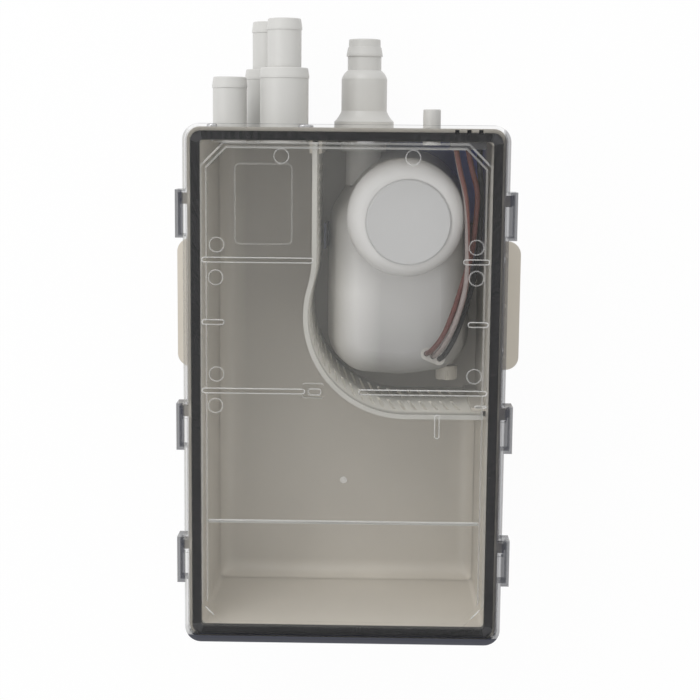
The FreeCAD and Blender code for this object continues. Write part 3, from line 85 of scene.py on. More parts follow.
def objectNoise(tree, scale, detail=3.0, rough=0.5, stretch=(1, 1, 1)):
    # Noise on object coordinates, scale in features per metre, pulled out along an axis by stretch.
    place = addNode(tree, "ShaderNodeTexCoord")
    mapping = addNode(tree, "ShaderNodeMapping")
    mapping.inputs["Scale"].default_value = [scale * s for s in stretch]
    noise = addNode(tree, "ShaderNodeTexNoise", Scale=1.0, Detail=detail, Roughness=rough)
    tree.links.new(place.outputs["Object"], mapping.inputs["Vector"])
    tree.links.new(mapping.outputs[0], noise.inputs["Vector"])
    return noise.outputs["Fac"]


def spread(tree, value, low, high, inLow=0.3, inHigh=0.7):
    # A value between inLow and inHigh is laid evenly between low and high.
    ranger = addNode(tree, "ShaderNodeMapRange")
    for key, number in (("From Min", inLow), ("From Max", inHigh), ("To Min", low), ("To Max", high)):
        ranger.inputs[key].default_value = number
    tree.links.new(value, ranger.inputs["Value"])
    return ranger.outputs[0]


def twoTone(tree, value, dark, light):
    # Colour runs from dark to light as the value runs from 0.3 to 0.7.
    ramp = addNode(tree, "ShaderNodeValToRGB")
    ramp.color_ramp.elements[0].position = 0.3
    ramp.color_ramp.elements[0].color = (*dark, 1)
    ramp.color_ramp.elements[1].position = 0.7
    ramp.color_ramp.elements[1].color = (*light, 1)
    tree.links.new(value, ramp.inputs["Fac"])
    return ramp.outputs["Color"]


def addBump(tree, shader, height, strength, distance):
    bump = addNode(tree, "ShaderNodeBump")
    bump.inputs["Strength"].default_value = strength
    bump.inputs["Distance"].default_value = distance
    tree.links.new(height, bump.inputs["Height"])
    tree.links.new(bump.outputs[0], shader.inputs["Normal"])


def tinted(colour, factor):
    return tuple(min(1.0, c * factor) for c in colour)


def beyond(tree, value, edge, width=0.15):
    # Nought before the edge, one beyond it, all in millimetres.
    return spread(tree, value, 0.0, 1.0, edge * mm, (edge + width) * mm)


def mathNode(tree, operation, first, second=None):
    node = addNode(tree, "ShaderNodeMath", operation=operation)
    for socket, value in zip(node.inputs, (first, second)):
        if isinstance(value, (int, float)):
            socket.default_value = value
        elif value is not None:
            tree.links.new(value, socket)
    return node.outputs[0]


def ownPlace(tree):
    # The point's own X, Y and Z, by which a finish differs from place to place.
    place = addNode(tree, "ShaderNodeTexCoord")
    parts = addNode(tree, "ShaderNodeSeparateXYZ")
    tree.links.new(place.outputs["Object"], parts.inputs[0])
    return parts.outputs["X"], parts.outputs["Y"], parts.outputs["Z"]


def scaled(tree, colour, factor):
    node = addNode(tree, "ShaderNodeVectorMath", operation="SCALE")
    tree.links.new(colour, node.inputs[0])
    tree.links.new(factor, node.inputs["Scale"])
    return node.outputs[0]


def mouldedPlastic(name, colour, rough, mottle=0.05, cloud=14.0, grain=900.0, bump=0.12, paintedLight=None,
                   paintedShadow=None):
    # Moulded plastic: slow clouding in the colour, a fine grain in the height and the gloss. Painted light
    # and shade can make it darker or paler from place to place, and a painted bluish shadow can turn its
    # colour.
    material, tree, shader, _ = newMaterial(name)
    clouds = objectNoise(tree, cloud, 4.0, 0.6)
    base = twoTone(tree, clouds, tinted(colour, 1 - mottle), tinted(colour, 1 + mottle))
    if paintedLight:
        base = scaled(tree, base, paintedLight(tree))
    if paintedShadow:
        share, shadeColour = paintedShadow
        mix = addNode(tree, "ShaderNodeMix", data_type="RGBA", blend_type="MULTIPLY")
        tree.links.new(share(tree), mix.inputs["Factor"])
        tree.links.new(base, mix.inputs[6])
        mix.inputs[7].default_value = (*shadeColour, 1)
        base = mix.outputs[2]
    tree.links.new(base, shader.inputs["Base Color"])
    fine = objectNoise(tree, grain, 2.0, 0.6)
    tree.links.new(spread(tree, fine, rough - 0.05, rough + 0.07), shader.inputs["Roughness"])
    addBump(tree, shader, fine, bump, 0.0001)
    return material


def rubberFinish(name, colour, rough=0.55):
    # Rubber: near-black with a dusty bloom in broad patches and a fine tooth.
    material, tree, shader, _ = newMaterial(name)
    bloom = objectNoise(tree, 40.0, 5.0, 0.65)
    base = twoTone(tree, bloom, tinted(colour, 0.8), tinted(colour, 1.5))
    tree.links.new(base, shader.inputs["Base Color"])
    tooth = objectNoise(tree, 1500.0, 2.0)
    tree.links.new(spread(tree, tooth, rough - 0.06, rough + 0.1), shader.inputs["Roughness"])
    addBump(tree, shader, tooth, 0.2, 0.0001)
    return material


def metalFinish(name, colour, rough, stretch=(1, 1, 1), grain=500.0):
    # Metal: a brushed grain that is pulled out along one axis.
    material, tree, shader, _ = newMaterial(name)
    shader.inputs["Metallic"].default_value = 1.0
    brushed = objectNoise(tree, grain, 3.0, 0.6, stretch)
    base = twoTone(tree, brushed, tinted(colour, 0.85), tinted(colour, 1.1))
    tree.links.new(base, shader.inputs["Base Color"])
    tree.links.new(spread(tree, brushed, rough - 0.08, rough + 0.12), shader.inputs["Roughness"])
    addBump(tree, shader, brushed, 0.08, 0.0001)
    return material


def wireWinding(name, colour):
    # Enamelled wire: fine bands across the coil ends give the lie of the strands.
    material, tree, shader, _ = newMaterial(name)
    place = addNode(tree, "ShaderNodeTexCoord")
    bands = addNode(tree, "ShaderNodeTexWave", Scale=900.0, Distortion=2.0, Detail=1.0)
    tree.links.new(place.outputs["Object"], bands.inputs["Vector"])
    base = twoTone(tree, bands.outputs["Fac"], tinted(colour, 0.55), colour)
    tree.links.new(base, shader.inputs["Base Color"])
    shader.inputs["Metallic"].default_value = 0.6
    shader.inputs["Roughness"].default_value = 0.35
    addBump(tree, shader, bands.outputs["Fac"], 0.5, 0.0003)
    return material


clearLook = {
    "colour": (0.74, 0.74, 0.72),
    "faceOn": 0.012,       # how much of a face-on surface hides what is behind it
    "edgeOn": 0.50,        # the same for a wall seen along its length
    "ribEdge": 0.85,       # the same for the ribs of the middle
    "ribWithin": (77.0, 133.0),
    "haze": 0.05,          # how much the scuffed panel hides
    "hazeWithin": (79.4, 135.8),
    "hazeLess": 0.031,     # how much less it hides over the leads
    "lessFrom": (38.0, 5.0),    # along x and y, where that starts
    "lessFade": (17.0, 40.0),   # and how far it takes to come in full
    "turnFrom": 0.12,
    "turnTo": 0.95,
    "grazing": 0.22,       # haze of a flat face when it is looked along
    "rough": 0.10,
}
# Outside the gasket the clear rim and its clips are painted dark, a painted shade for the shadowed gap
# below them.
rimShadeLook = {
    "colour": (0.032, 0.035, 0.052),
    # For each edge: millimetres from the middle where the dark starts, and how much it hides.
    "left": (86.45, 0.14),
    "right": (85.6, 0.35),
    "low": (141.35, 0.96),
    "high": (143.0, 0.06),
    "highSkirt": (145.3, 0.55),
    "clips": (89.3, 0.60),
}


def rimShadeShare(tree, rimShade):
    # How much of the rim's painted shade shows at each edge; the largest counts at a corner.
    x, y, _ = ownPlace(tree)
    total = 0.0
    for edge, value, sign in (("left", x, -1.0), ("right", x, 1.0), ("low", y, -1.0), ("high", y, 1.0),
                              ("highSkirt", y, 1.0), ("clips", mathNode(tree, "ABSOLUTE", x), 1.0)):
        start, hides = rimShade[edge]
        share = beyond(tree, mathNode(tree, "MULTIPLY", value, sign), start)
        total = mathNode(tree, "MAXIMUM", total, mathNode(tree, "MULTIPLY", share, hides))
    return total


def panelShare(tree, within):
    # One inside a rectangle about the lid's middle, nought outside it.
    x, y, _ = ownPlace(tree)
    across = beyond(tree, mathNode(tree, "ABSOLUTE", x), within[0])
    along = beyond(tree, mathNode(tree, "ABSOLUTE", y), within[1])
    return mathNode(tree, "SUBTRACT", 1.0, mathNode(tree, "MAXIMUM", across, along))


def scuffShare(tree, look):
    # The panel's haze, fainter over the leads.
    x, y, _ = ownPlace(tree)
    over = mathNode(tree, "MULTIPLY", beyond(tree, x, look["lessFrom"][0], look["lessFade"][0]),
                    beyond(tree, y, look["lessFrom"][1], look["lessFade"][1]))
    haze = mathNode(tree, "SUBTRACT", look["haze"], mathNode(tree, "MULTIPLY", over, look["hazeLess"]))
    return mathNode(tree, "MULTIPLY", panelShare(tree, look["hazeWithin"]), haze)


def clearPlastic(name, look, rimShade=None):
    # Clear plastic: opacity grows as a face turns away from level, so that walls and ribs draw their edges
    # as pale lines, a painted highlight, while flat faces stay clear.
    material, tree, shader, _ = newMaterial(name)
    haze = objectNoise(tree, 25.0, 4.0, 0.6)
    base = twoTone(tree, haze, tinted(look["colour"], 0.94), tinted(look["colour"], 1.04))
    gloss = spread(tree, haze, look["rough"] - 0.03, look["rough"] + 0.05)
    tree.links.new(gloss, shader.inputs["Roughness"])
    normal = addNode(tree, "ShaderNodeSeparateXYZ")
    tree.links.new(addNode(tree, "ShaderNodeNewGeometry").outputs["Normal"], normal.inputs[0])
    turned = mathNode(tree, "SUBTRACT", 1.0, mathNode(tree, "ABSOLUTE", normal.outputs["Z"]))
    opacity = spread(tree, turned, look["faceOn"], look["edgeOn"], look["turnFrom"], look["turnTo"])
    facing = addNode(tree, "ShaderNodeLayerWeight")
    facing.inputs["Blend"].default_value = 0.5
    grazing = spread(tree, facing.outputs["Facing"], 0.0, look["grazing"], 0.55, 1.0)
    opacity = mathNode(tree, "MAXIMUM", opacity, grazing)
    if rimShade:
        # Painted highlights: the ribs within the panel draw their walls as paler lines still.
        ribs = spread(tree, turned, look["faceOn"], look["ribEdge"], look["turnFrom"], look["turnTo"])
        ribs = mathNode(tree, "MULTIPLY", ribs, panelShare(tree, look["ribWithin"]))
        opacity = mathNode(tree, "MAXIMUM", opacity, ribs)
        opacity = mathNode(tree, "MAXIMUM", opacity, scuffShare(tree, look))
        # Painted shade: the rim darkens towards its edges, a little less on its walls.
        flat = spread(tree, turned, 1.0, 0.6, 0.3, 0.9)
        dark = mathNode(tree, "MULTIPLY", rimShadeShare(tree, rimShade), flat)
        mix = addNode(tree, "ShaderNodeMix", data_type="RGBA")
        tree.links.new(spread(tree, dark, 0.0, 1.0, 0.02, 0.2), mix.inputs["Factor"])
        tree.links.new(base, mix.inputs[6])
        mix.inputs[7].default_value = (*rimShade["colour"], 1)
        base = mix.outputs[2]
        opacity = mathNode(tree, "MAXIMUM", opacity, dark)
    tree.links.new(base, shader.inputs["Base Color"])
    tree.links.new(opacity, shader.inputs["Alpha"])
    return material


# Painted shade and light on the tub: its floor is painted darker than its walls, darkest under the barbs,
# and its low end and outer faces paler. Lengths are millimetres from the middle, tones are factors on the
# colour.
tubLightAndShade = {
    "wallX": 62.0, "fadeX": 16.0,       # where the floor's dullness ends at the sides,
    "wallY": 92.0, "fadeY": 42.0,       # at the low end,
    "above": 11.0, "fadeUp": 8.0,       # and above the floor
    "floorLow": 0.92, "floorHigh": 0.62,
    "floorFrom": -110.0, "floorTo": 50.0,
    # Painted light: the low end and the outer faces are made paler.
    "endFrom": 124.0, "endFade": 12.0, "endTone": 1.28,
    "outX": 80.6, "outLow": 137.0, "outHigh": 137.8, "outCorner": 215.0, "outTone": 1.12,
    # The painted bluish shadow beside and beyond the pump's dome, low in the tub.
    "shadeX": 2.0, "shadeFadeX": 10.0, "shadeY": 50.0, "shadeFadeY": 40.0,
    "shadeUp": (12.0, 60.0), "shadeColour": (0.48, 0.58, 1.6),
}


def tubOutside(tree, x, y):
    # One on the outer faces of the tub's walls and on its feet, nought within.
    away = mathNode(tree, "ABSOLUTE", x)
    corners = beyond(tree, mathNode(tree, "ADD", away, mathNode(tree, "ABSOLUTE", y)), tubLightAndShade["outCorner"])
    low = beyond(tree, mathNode(tree, "MULTIPLY", y, -1.0), tubLightAndShade["outLow"])
    ends = mathNode(tree, "MAXIMUM", low, beyond(tree, y, tubLightAndShade["outHigh"]))
    sides = mathNode(tree, "MAXIMUM", beyond(tree, away, tubLightAndShade["outX"]), corners)
    return mathNode(tree, "MAXIMUM", sides, ends)


def tubPaintedLight(tree):
    # Painted shade and light: a darker floor, plain walls, a paler low end and paler outer faces.
    x, y, z = ownPlace(tree)
    away = mathNode(tree, "ABSOLUTE", x)
    across = beyond(tree, away, tubLightAndShade["wallX"], tubLightAndShade["fadeX"])
    along = beyond(tree, mathNode(tree, "MULTIPLY", y, -1.0), tubLightAndShade["wallY"], tubLightAndShade["fadeY"])
    above = beyond(tree, z, tubLightAndShade["above"], tubLightAndShade["fadeUp"])
    wall = mathNode(tree, "MAXIMUM", mathNode(tree, "MAXIMUM", across, along), above)
    floorShade = spread(tree, y, tubLightAndShade["floorLow"], tubLightAndShade["floorHigh"], tubLightAndShade["floorFrom"] * mm,
                       tubLightAndShade["floorTo"] * mm)
    part = mathNode(tree, "MULTIPLY", mathNode(tree, "SUBTRACT", 1.0, wall), floorShade)
    end = spread(tree, y, tubLightAndShade["endTone"], 1.0, -(tubLightAndShade["endFrom"] + tubLightAndShade["endFade"]) * mm,
                 -tubLightAndShade["endFrom"] * mm)
    within = mathNode(tree, "MULTIPLY", mathNode(tree, "ADD", wall, part), end)
    outside = tubOutside(tree, x, y)
    within = mathNode(tree, "MULTIPLY", within, mathNode(tree, "SUBTRACT", 1.0, outside))
    return mathNode(tree, "ADD", within, mathNode(tree, "MULTIPLY", outside, tubLightAndShade["outTone"]))


def tubPaintedShadow(tree):
    # How much painted bluish shadow the tub takes: only right of the curtain, beside and beyond the dome.
    x, y, z = ownPlace(tree)
    within = mathNode(tree, "SUBTRACT", 1.0, tubOutside(tree, x, y))
    right = mathNode(tree, "MULTIPLY", beyond(tree, x, tubLightAndShade["shadeX"], tubLightAndShade["shadeFadeX"]), within)
    low, high = tubLightAndShade["shadeUp"]
    under = mathNode(tree, "MULTIPLY", beyond(tree, y, tubLightAndShade["shadeY"], tubLightAndShade["shadeFadeY"]),
                     spread(tree, z, 1.0, 0.0, low * mm, high * mm))
    return mathNode(tree, "MULTIPLY", right, under)


def pumpPaintedLight(tree):
    # Painted shade and light: the pump's low end is painted darker than its dome, and lighter on the side
    # of the curtain.
    x, y, _ = ownPlace(tree)
    low = spread(tree, y, 1.0, 0.0, 50 * mm, 75 * mm)
    flank = mathNode(tree, "MULTIPLY", spread(tree, x, 0.75, 0.0, -4 * mm, 20 * mm), low)
    return mathNode(tree, "ADD", spread(tree, y, 0.40, 1.10, -5 * mm, 75 * mm), flank)


def curtainPaintedLight(tree):
    # Painted light: the curtain is painted paler below its upper edge, so that edge is duller than its
    # sides.
    _, _, z = ownPlace(tree)
    return spread(tree, z, 1.65, 0.92, 86 * mm, 94 * mm)


# One finish for each kind of material, and the nodes that wear it.
print("finishes")
finishes = {
    "tubPlastic": mouldedPlastic("tubPlastic", (0.55, 0.515, 0.455), 0.42, 0.035, paintedLight=tubPaintedLight,
                                 paintedShadow=(tubPaintedShadow, tubLightAndShade["shadeColour"])),
    "portPlastic": mouldedPlastic("portPlastic", (0.58, 0.575, 0.555), 0.36, 0.03),
    "pumpPlastic": mouldedPlastic("pumpPlastic", (0.54, 0.532, 0.52), 0.45, 0.03, paintedLight=pumpPaintedLight),
    "discPlastic": mouldedPlastic("discPlastic", (0.45, 0.448, 0.445), 0.5, 0.02),
    "knobPlastic": mouldedPlastic("knobPlastic", (0.68, 0.645, 0.575), 0.45, 0.03),
    "curtainPlastic": mouldedPlastic("curtainPlastic", (0.47, 0.458, 0.42), 0.5, 0.04, paintedLight=curtainPaintedLight),
    "whitePlastic": mouldedPlastic("whitePlastic", (0.56, 0.56, 0.54), 0.4, 0.03),
    "darkPlastic": mouldedPlastic("darkPlastic", (0.05, 0.05, 0.055), 0.45, 0.1),
    "navyPlastic": mouldedPlastic("navyPlastic", (0.030, 0.038, 0.085), 0.35, 0.1),
    "sealRubber": rubberFinish("sealRubber", (0.022, 0.022, 0.024)),
    "glandRubber": rubberFinish("glandRubber", (0.40, 0.385, 0.36)),
    "screwSteel": metalFinish("screwSteel", (0.55, 0.55, 0.56), 0.3),
    "canSteel": metalFinish("canSteel", (0.50, 0.50, 0.51), 0.35, (1, 1, 0.05)),
    "coreSteel": metalFinish("coreSteel", (0.30, 0.30, 0.31), 0.45, (0.05, 0.05, 1), 1500.0),
    "bushBronze": metalFinish("bushBronze", (0.62, 0.42, 0.22), 0.4),
    "barCopper": metalFinish("barCopper", (0.72, 0.38, 0.22), 0.3, (1, 1, 0.1)),
    "magnetFerrite": rubberFinish("magnetFerrite", (0.06, 0.06, 0.062), 0.6),
    "brushCarbon": rubberFinish("brushCarbon", (0.04, 0.04, 0.04), 0.5),
    "coilWire": wireWinding("coilWire", (0.60, 0.26, 0.12)),
    "clearLid": clearPlastic("clearLid", clearLook, rimShadeLook),
}
nodeFinish = {
    "tubPlastic": ("base_tub",),
    "clearLid": ("lid",),
    "portPlastic": ("inlet_manifold", "outlet_fitting", "vent_spigot"),
    "navyPlastic": ("pump_strainer_base",),
    "pumpPlastic": ("pump_lower_housing", "pump_upper_housing", "volute_cover"),
    "discPlastic": ("label_disc",),
    "knobPlastic": ("test_knob",),
    "curtainPlastic": ("strainer_curtain",),
    "whitePlastic": ("discharge_tube", "motor_end_plate", "spindle_bush"),
    "darkPlastic": ("wire_connector", "brush_card", "impeller", "float", "float_switch"),
    "sealRubber": ("lid_gasket", "manifold_gasket", "outlet_seal", "discharge_seals", "check_flap",
                   "housing_seal", "shaft_seal"),
    "glandRubber": ("cable_gland",),
    "screwSteel": ("manifold_screws", "base_screws", "outlet_clip", "flap_pin", "motor_shaft",
                   "float_spindle", "brush_springs"),
    "canSteel": ("motor_can",),
    "coreSteel": ("armature_core",),
    "bushBronze": ("upper_bearing", "lower_bearing", "connector_terminals"),
    "barCopper": ("commutator",),
    "magnetFerrite": ("motor_magnets", "float_magnet"),
    "brushCarbon": ("brushes",),
    "coilWire": ("armature_windings",),
}
for finish, names in nodeFinish.items():
    for name in names:
        node = nodes[name]
        if not node.material_slots:
            node.data.materials.append(finishes[finish])
        for slot in node.material_slots:
            slot.material = finishes[finish]


def gridMesh(name, points, closedU, closedV, material, uv=None):
    # Points are an array of rows by columns by 3; rows follow u, columns follow v, and each cell is a quad.
    rows, columns = points.shape[:2]
    u = np.arange(rows if closedU else rows - 1)
    v = np.arange(columns if closedV else columns - 1)
    a, b = np.meshgrid(u, v, indexing="ij")
    nextA = (a + 1) % rows
    nextB = (b + 1) % columns
    quads = np.stack([a * columns + b, nextA * columns + b, nextA * columns + nextB, a * columns + nextB],
                     -1).reshape(-1, 4)
    mesh = bpy.data.meshes.new(name)
    mesh.vertices.add(rows * columns)
    mesh.vertices.foreach_set("co", points.astype(np.float32).ravel())
    mesh.loops.add(quads.size)
    mesh.loops.foreach_set("vertex_index", quads.astype(np.int32).ravel())
    mesh.polygons.add(len(quads))
    mesh.polygons.foreach_set("loop_start", np.arange(0, quads.size, 4, dtype=np.int32))
    mesh.polygons.foreach_set("use_smooth", np.ones(len(quads), dtype=bool))
    if uv is not None:
        # A cell's corners take their own u and v, so the seam cell ends at 1.
        cornerU = np.stack([a, a + 1, a + 1, a], -1).reshape(-1) / (rows if closedU else rows - 1)
        cornerV = np.stack([b, b, b + 1, b + 1], -1).reshape(-1) / (columns if closedV else columns - 1)
        layer = mesh.uv_layers.new(name="route")
        corners = np.stack([cornerU * uv[0], cornerV * uv[1]], -1)
        layer.data.foreach_set("uv", corners.astype(np.float32).ravel())
    mesh.materials.append(material)
    mesh.update()
    mesh.validate()
    piece = bpy.data.objects.new(name, mesh)
    bpy.context.scene.collection.objects.link(piece)
    return piece


def closeEnds(piece, rows, columns):
    # A fan of the first row and one of the last shut a tube.
    shape = bmesh.new()
    shape.from_mesh(piece.data)
    shape.verts.ensure_lookup_table()
    shape.faces.new([shape.verts[i] for i in range(columns)][::-1])
    shape.faces.new([shape.verts[(rows - 1) * columns + i] for i in range(columns)])
    bmesh.ops.recalc_face_normals(shape, faces=shape.faces)
    shape.to_mesh(piece.data)
    shape.free()


# The three leads from the pump's gland to the connector.
print("leads")


def leadSleeve(name, colour, tracer=None):
    # Lead sleeve: a soft sheen, and where there is a tracer a stripe that winds slowly along the lead.
    material, tree, shader, _ = newMaterial(name)
    scuff = objectNoise(tree, 220.0, 4.0, 0.6)
    base = twoTone(tree, scuff, tinted(colour, 0.8), tinted(colour, 1.15))
    if tracer:
        place = addNode(tree, "ShaderNodeTexCoord")
        parts = addNode(tree, "ShaderNodeSeparateXYZ")
        tree.links.new(place.outputs["UV"], parts.inputs[0])
        turn = mathNode(tree, "ADD", parts.outputs["X"], parts.outputs["Y"])
        phase = mathNode(tree, "ADD", turn, tracer["phase"])
        band = mathNode(tree, "LESS_THAN", mathNode(tree, "FRACT", phase), tracer["share"])
        mix = addNode(tree, "ShaderNodeMix", data_type="RGBA")
        tree.links.new(band, mix.inputs["Factor"])
        tree.links.new(base, mix.inputs[6])
        mix.inputs[7].default_value = (*tracer["colour"], 1)
        base = mix.outputs[2]
    tree.links.new(base, shader.inputs["Base Color"])
    shader.inputs["Specular IOR Level"].default_value = 0.2
    tree.links.new(spread(tree, scuff, 0.35, 0.5), shader.inputs["Roughness"])
    addBump(tree, shader, scuff, 0.05, 0.0002)
    return material


leadShape = {"diameter": 3.0, "sides": 16, "turnsPerMetre": 3.6}
leads = {
    "leadBrown": {
        "node": "lead_brown",
        "route": ((46.2, 16.0, 63.5), (46.2, 16.0, 77.0), (54.0, 26.1, 84.5), (59.9, 40.3, 86.0),
                  (65.6, 59.2, 85.0), (70.3, 74.2, 83.0), (72.0, 92.9, 82.0), (73.2, 109.0, 82.5),
                  (68.6, 122.5, 87.6), (66.6, 132.5, 87.8)),
        "sleeve": leadSleeve("sleeveBrown", (0.11, 0.045, 0.04)),
        "slot": "brown_sleeve",
    },
    "leadStriped": {
        "node": "lead_striped",
        "route": ((50.0, 14.5, 63.5), (50.0, 14.5, 77.5), (57.6, 25.8, 84.0), (63.2, 40.3, 87.6),
                  (67.8, 59.6, 88.5), (67.4, 78.2, 87.5), (67.2, 93.1, 86.0), (66.0, 108.0, 85.0),
                  (61.8, 122.5, 87.6), (60.1, 132.5, 87.8)),
        "sleeve": leadSleeve("sleeveStriped", (0.25, 0.215, 0.205),
                             {"share": 0.42, "phase": 0.93, "colour": (0.17, 0.075, 0.065)}),
        "slot": "striped_sleeve",
    },
    "leadBlack": {
        "node": "lead_black",
        "route": ((53.8, 13.0, 63.5), (53.8, 13.0, 76.5), (60.3, 23.7, 83.0), (66.5, 39.7, 80.5),
                  (71.8, 58.7, 80.0), (74.1, 73.9, 79.0), (74.8, 92.7, 78.5), (75.3, 107.8, 79.5),
                  (73.1, 122.5, 87.8), (73.1, 132.5, 87.8)),
        "sleeve": leadSleeve("sleeveBlack", (0.018, 0.018, 0.02)),
        "slot": "black_sleeve",
    },
}


def routeLine(name, route):
    # The route's points are the control points of one NURBS line of order three.
    curve = bpy.data.curves.new(name + "Line", "CURVE")
    curve.dimensions = "3D"
    curve.resolution_u = 16
    spline = curve.splines.new("NURBS")
    spline.points.add(len(route) - 1)
    spline.points.foreach_set("co", np.array([(*(c * mm for c in p), 1.0) for p in route]).ravel())
    spline.order_u = 3
    spline.use_endpoint_u = True
    holder = bpy.data.objects.new(name + "Line", curve)
    bpy.context.scene.collection.objects.link(holder)
    bpy.context.view_layer.update()
    line = bpy.data.meshes.new_from_object(holder)
    points = np.zeros(len(line.vertices) * 3)
    line.vertices.foreach_get("co", points)
    bpy.data.objects.remove(holder)
    bpy.data.meshes.remove(line)
    bpy.data.curves.remove(curve)
    return points.reshape(-1, 3)


def leadTube(name, path, radius, sides, turnsPerMetre, material):
    # Tube: path(s) + radius * (cos(t) * across(s) + sin(t) * over(s)), where across and over stand square
    # to the path's heading.
    heading = np.gradient(path, axis=0)
    heading /= np.linalg.norm(heading, axis=1, keepdims=True)
    side = np.array([1.0, 0.0, 0.0])
    across = side - heading * (heading @ side)[:, None]
    across /= np.linalg.norm(across, axis=1, keepdims=True)
    over = np.cross(heading, across)
    t = np.linspace(0, 2 * math.pi, sides, endpoint=False)[None, :, None]
    points = path[:, None, :] + radius * (np.cos(t) * across[:, None, :] + np.sin(t) * over[:, None, :])
    length = np.linalg.norm(np.diff(path, axis=0), axis=1).sum()
    piece = gridMesh(name, points, False, True, material, uv=(length * turnsPerMetre, 1.0))
    closeEnds(piece, len(path), sides)
    return piece, length


for name, lead in leads.items():
    path = routeLine(name, lead["route"])
    radius = leadShape["diameter"] / 2 * mm
    piece, length = leadTube(name, path, radius, leadShape["sides"], leadShape["turnsPerMetre"],
                             lead["sleeve"])
    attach(piece, "sump")
    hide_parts(lead["node"])


# The tub's floor runs up into its walls in a hollow curve.
print("tub cove")
cove = {
    "floor": 3.02,
    "radius": 9.0,
    "wallX": 78.42,
    "lowY": -134.92,
    "leftTo": 133.5,
    "rightTo": -21.5,
    "corner": 3.0,         # the wall's corner radius, which grows towards the floor
    "cornerGrowth": 0.6,
}


def coveStrip(shape, steps=14, bend=12, along=10):
    # For the angle a from the floor to the wall, a line set d = R * (1 - sin a) inside the walls and
    # R * (1 - cos a) above the floor: left side, quarter circle, low end, quarter circle, right side.
    a = np.linspace(0, math.pi / 2, steps)
    d = shape["radius"] * (1 - np.sin(a))
    z = shape["floor"] + shape["radius"] * (1 - np.cos(a))
    x = shape["wallX"] - d
    y = shape["lowY"] + d
    corner = shape["corner"] + shape["cornerGrowth"] * d
    turn = np.linspace(0, math.pi / 2, bend)[:, None]
    side = np.linspace(0, 1, along, endpoint=False)[:, None]

    def straight(x0, y0, x1, y1):
        return np.stack([x0 + (x1 - x0) * side, y0 + (y1 - y0) * side,
                         np.broadcast_to(z, (along, steps))], -1)

    def quarter(centreX, centreY, fromAngle):
        return np.stack([centreX + corner * np.cos(fromAngle + turn),
                         centreY + corner * np.sin(fromAngle + turn),
                         np.broadcast_to(z, (bend, steps))], -1)

    rows = [straight(-x, shape["leftTo"], -x, y + corner), quarter(corner - x, y + corner, math.pi),
            straight(corner - x, y, x - corner, y)[1:], quarter(x - corner, y + corner, 1.5 * math.pi),
            straight(x, y + corner, x, shape["rightTo"])[1:],
            np.stack([x, np.full(steps, shape["rightTo"]), z], -1)[None]]
    return np.concatenate(rows) * mm


tubCove = gridMesh("tubCove", coveStrip(cove), False, False, finishes["tubPlastic"])
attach(tubCove, "sump")


# Marks moulded into the lid's underside, and painted highlight lines at its ribs and low corners.
print("lid marks")
lidMarks = {
    "under": 105.5,        # height of the lid's underside
    "sink": 0.1,           # how far the lines' middles lie below it
    "discs": ((-35.1, 128.2), (36.2, 128.0), (71.3, 79.8), (-70.3, 80.0), (-70.9, 62.1),
              (71.6, 62.9), (71.4, 8.8), (-70.5, 8.6), (-71.1, -9.1)),
    "discRadius": 4.0,
    "discLine": 0.30,
    "frame": (-60.2, -29.3, 80.6, 124.0),
    "frameCorner": 3.0,
    "frameLine": 0.4,
    "gate": (0.1, -50.2),
    "gateRadius": 1.1,
    "gateLine": 0.77,
    # Painted highlights along the ribs' roots and the two low chamfers: the middle line's two ends and half
    # the thickness.
    "ribs": ((-77.3, 71.6, -19.1, 71.6, 1.3), (65.9, 71.6, 77.3, 71.6, 1.3),
             (-77.3, 37.2, -67.8, 37.2, 1.3), (69.0, 37.2, 77.3, 37.2, 1.3),
             (-77.3, -1.0, -23.3, -1.0, 1.3), (9.4, -1.0, 77.3, -1.0, 1.3),
             (72.8, -8.5, 78.0, -8.5, 0.5), (-75.0, -75.0, 75.0, -75.0, 0.5),
             (51.5, -25.3, 51.5, -14.5, 1.2), (-18.3, -1.1, -14.6, -1.1, 1.7),
             (-77.1, -125.2, -72.9, -129.4, 0.1), (77.1, -125.2, 72.9, -129.4, 0.1)),
    "ribRise": 103.6,
    "ribLine": 0.32,
}


def ringAround(name, loop, line, material):
    # Closed bead: loop(s) + line * (cos(t) * outward(s) - 0.6 * sin(t) * up), flattened against the lid.
    ahead = np.roll(loop, -1, axis=0) - np.roll(loop, 1, axis=0)
    ahead /= np.linalg.norm(ahead, axis=1, keepdims=True)
    up = np.array([0.0, 0.0, 1.0])
    outward = np.cross(ahead, up)
    t = np.linspace(0, 2 * math.pi, 10, endpoint=False)[None, :, None]
    points = loop[:, None, :] + line * (np.cos(t) * outward[:, None, :] - 0.6 * np.sin(t) * up)
    return gridMesh(name, points, True, True, material)


def circleLoop(x, y, z, radius, steps=40):
    # Circle: centre + radius * (cos, sin).
    a = np.linspace(0, 2 * math.pi, steps, endpoint=False)
    return np.stack([x + radius * np.cos(a), y + radius * np.sin(a), np.full_like(a, z)], -1) * mm


def frameLoop(x0, x1, y0, y1, corner, z, steps=9):
    # Rounded rectangle: four quarter circles about the corner centres, joined by straight sides.
    a = np.linspace(0, math.pi / 2, steps)
    centres = ((x1 - corner, y1 - corner, 0), (x0 + corner, y1 - corner, 1),
               (x0 + corner, y0 + corner, 2), (x1 - corner, y0 + corner, 3))
    loops = [np.stack([cx + corner * np.cos(a + k * math.pi / 2), cy + corner * np.sin(a + k * math.pi / 2),
                       np.full_like(a, z)], -1) for cx, cy, k in centres]
    return np.concatenate(loops) * mm


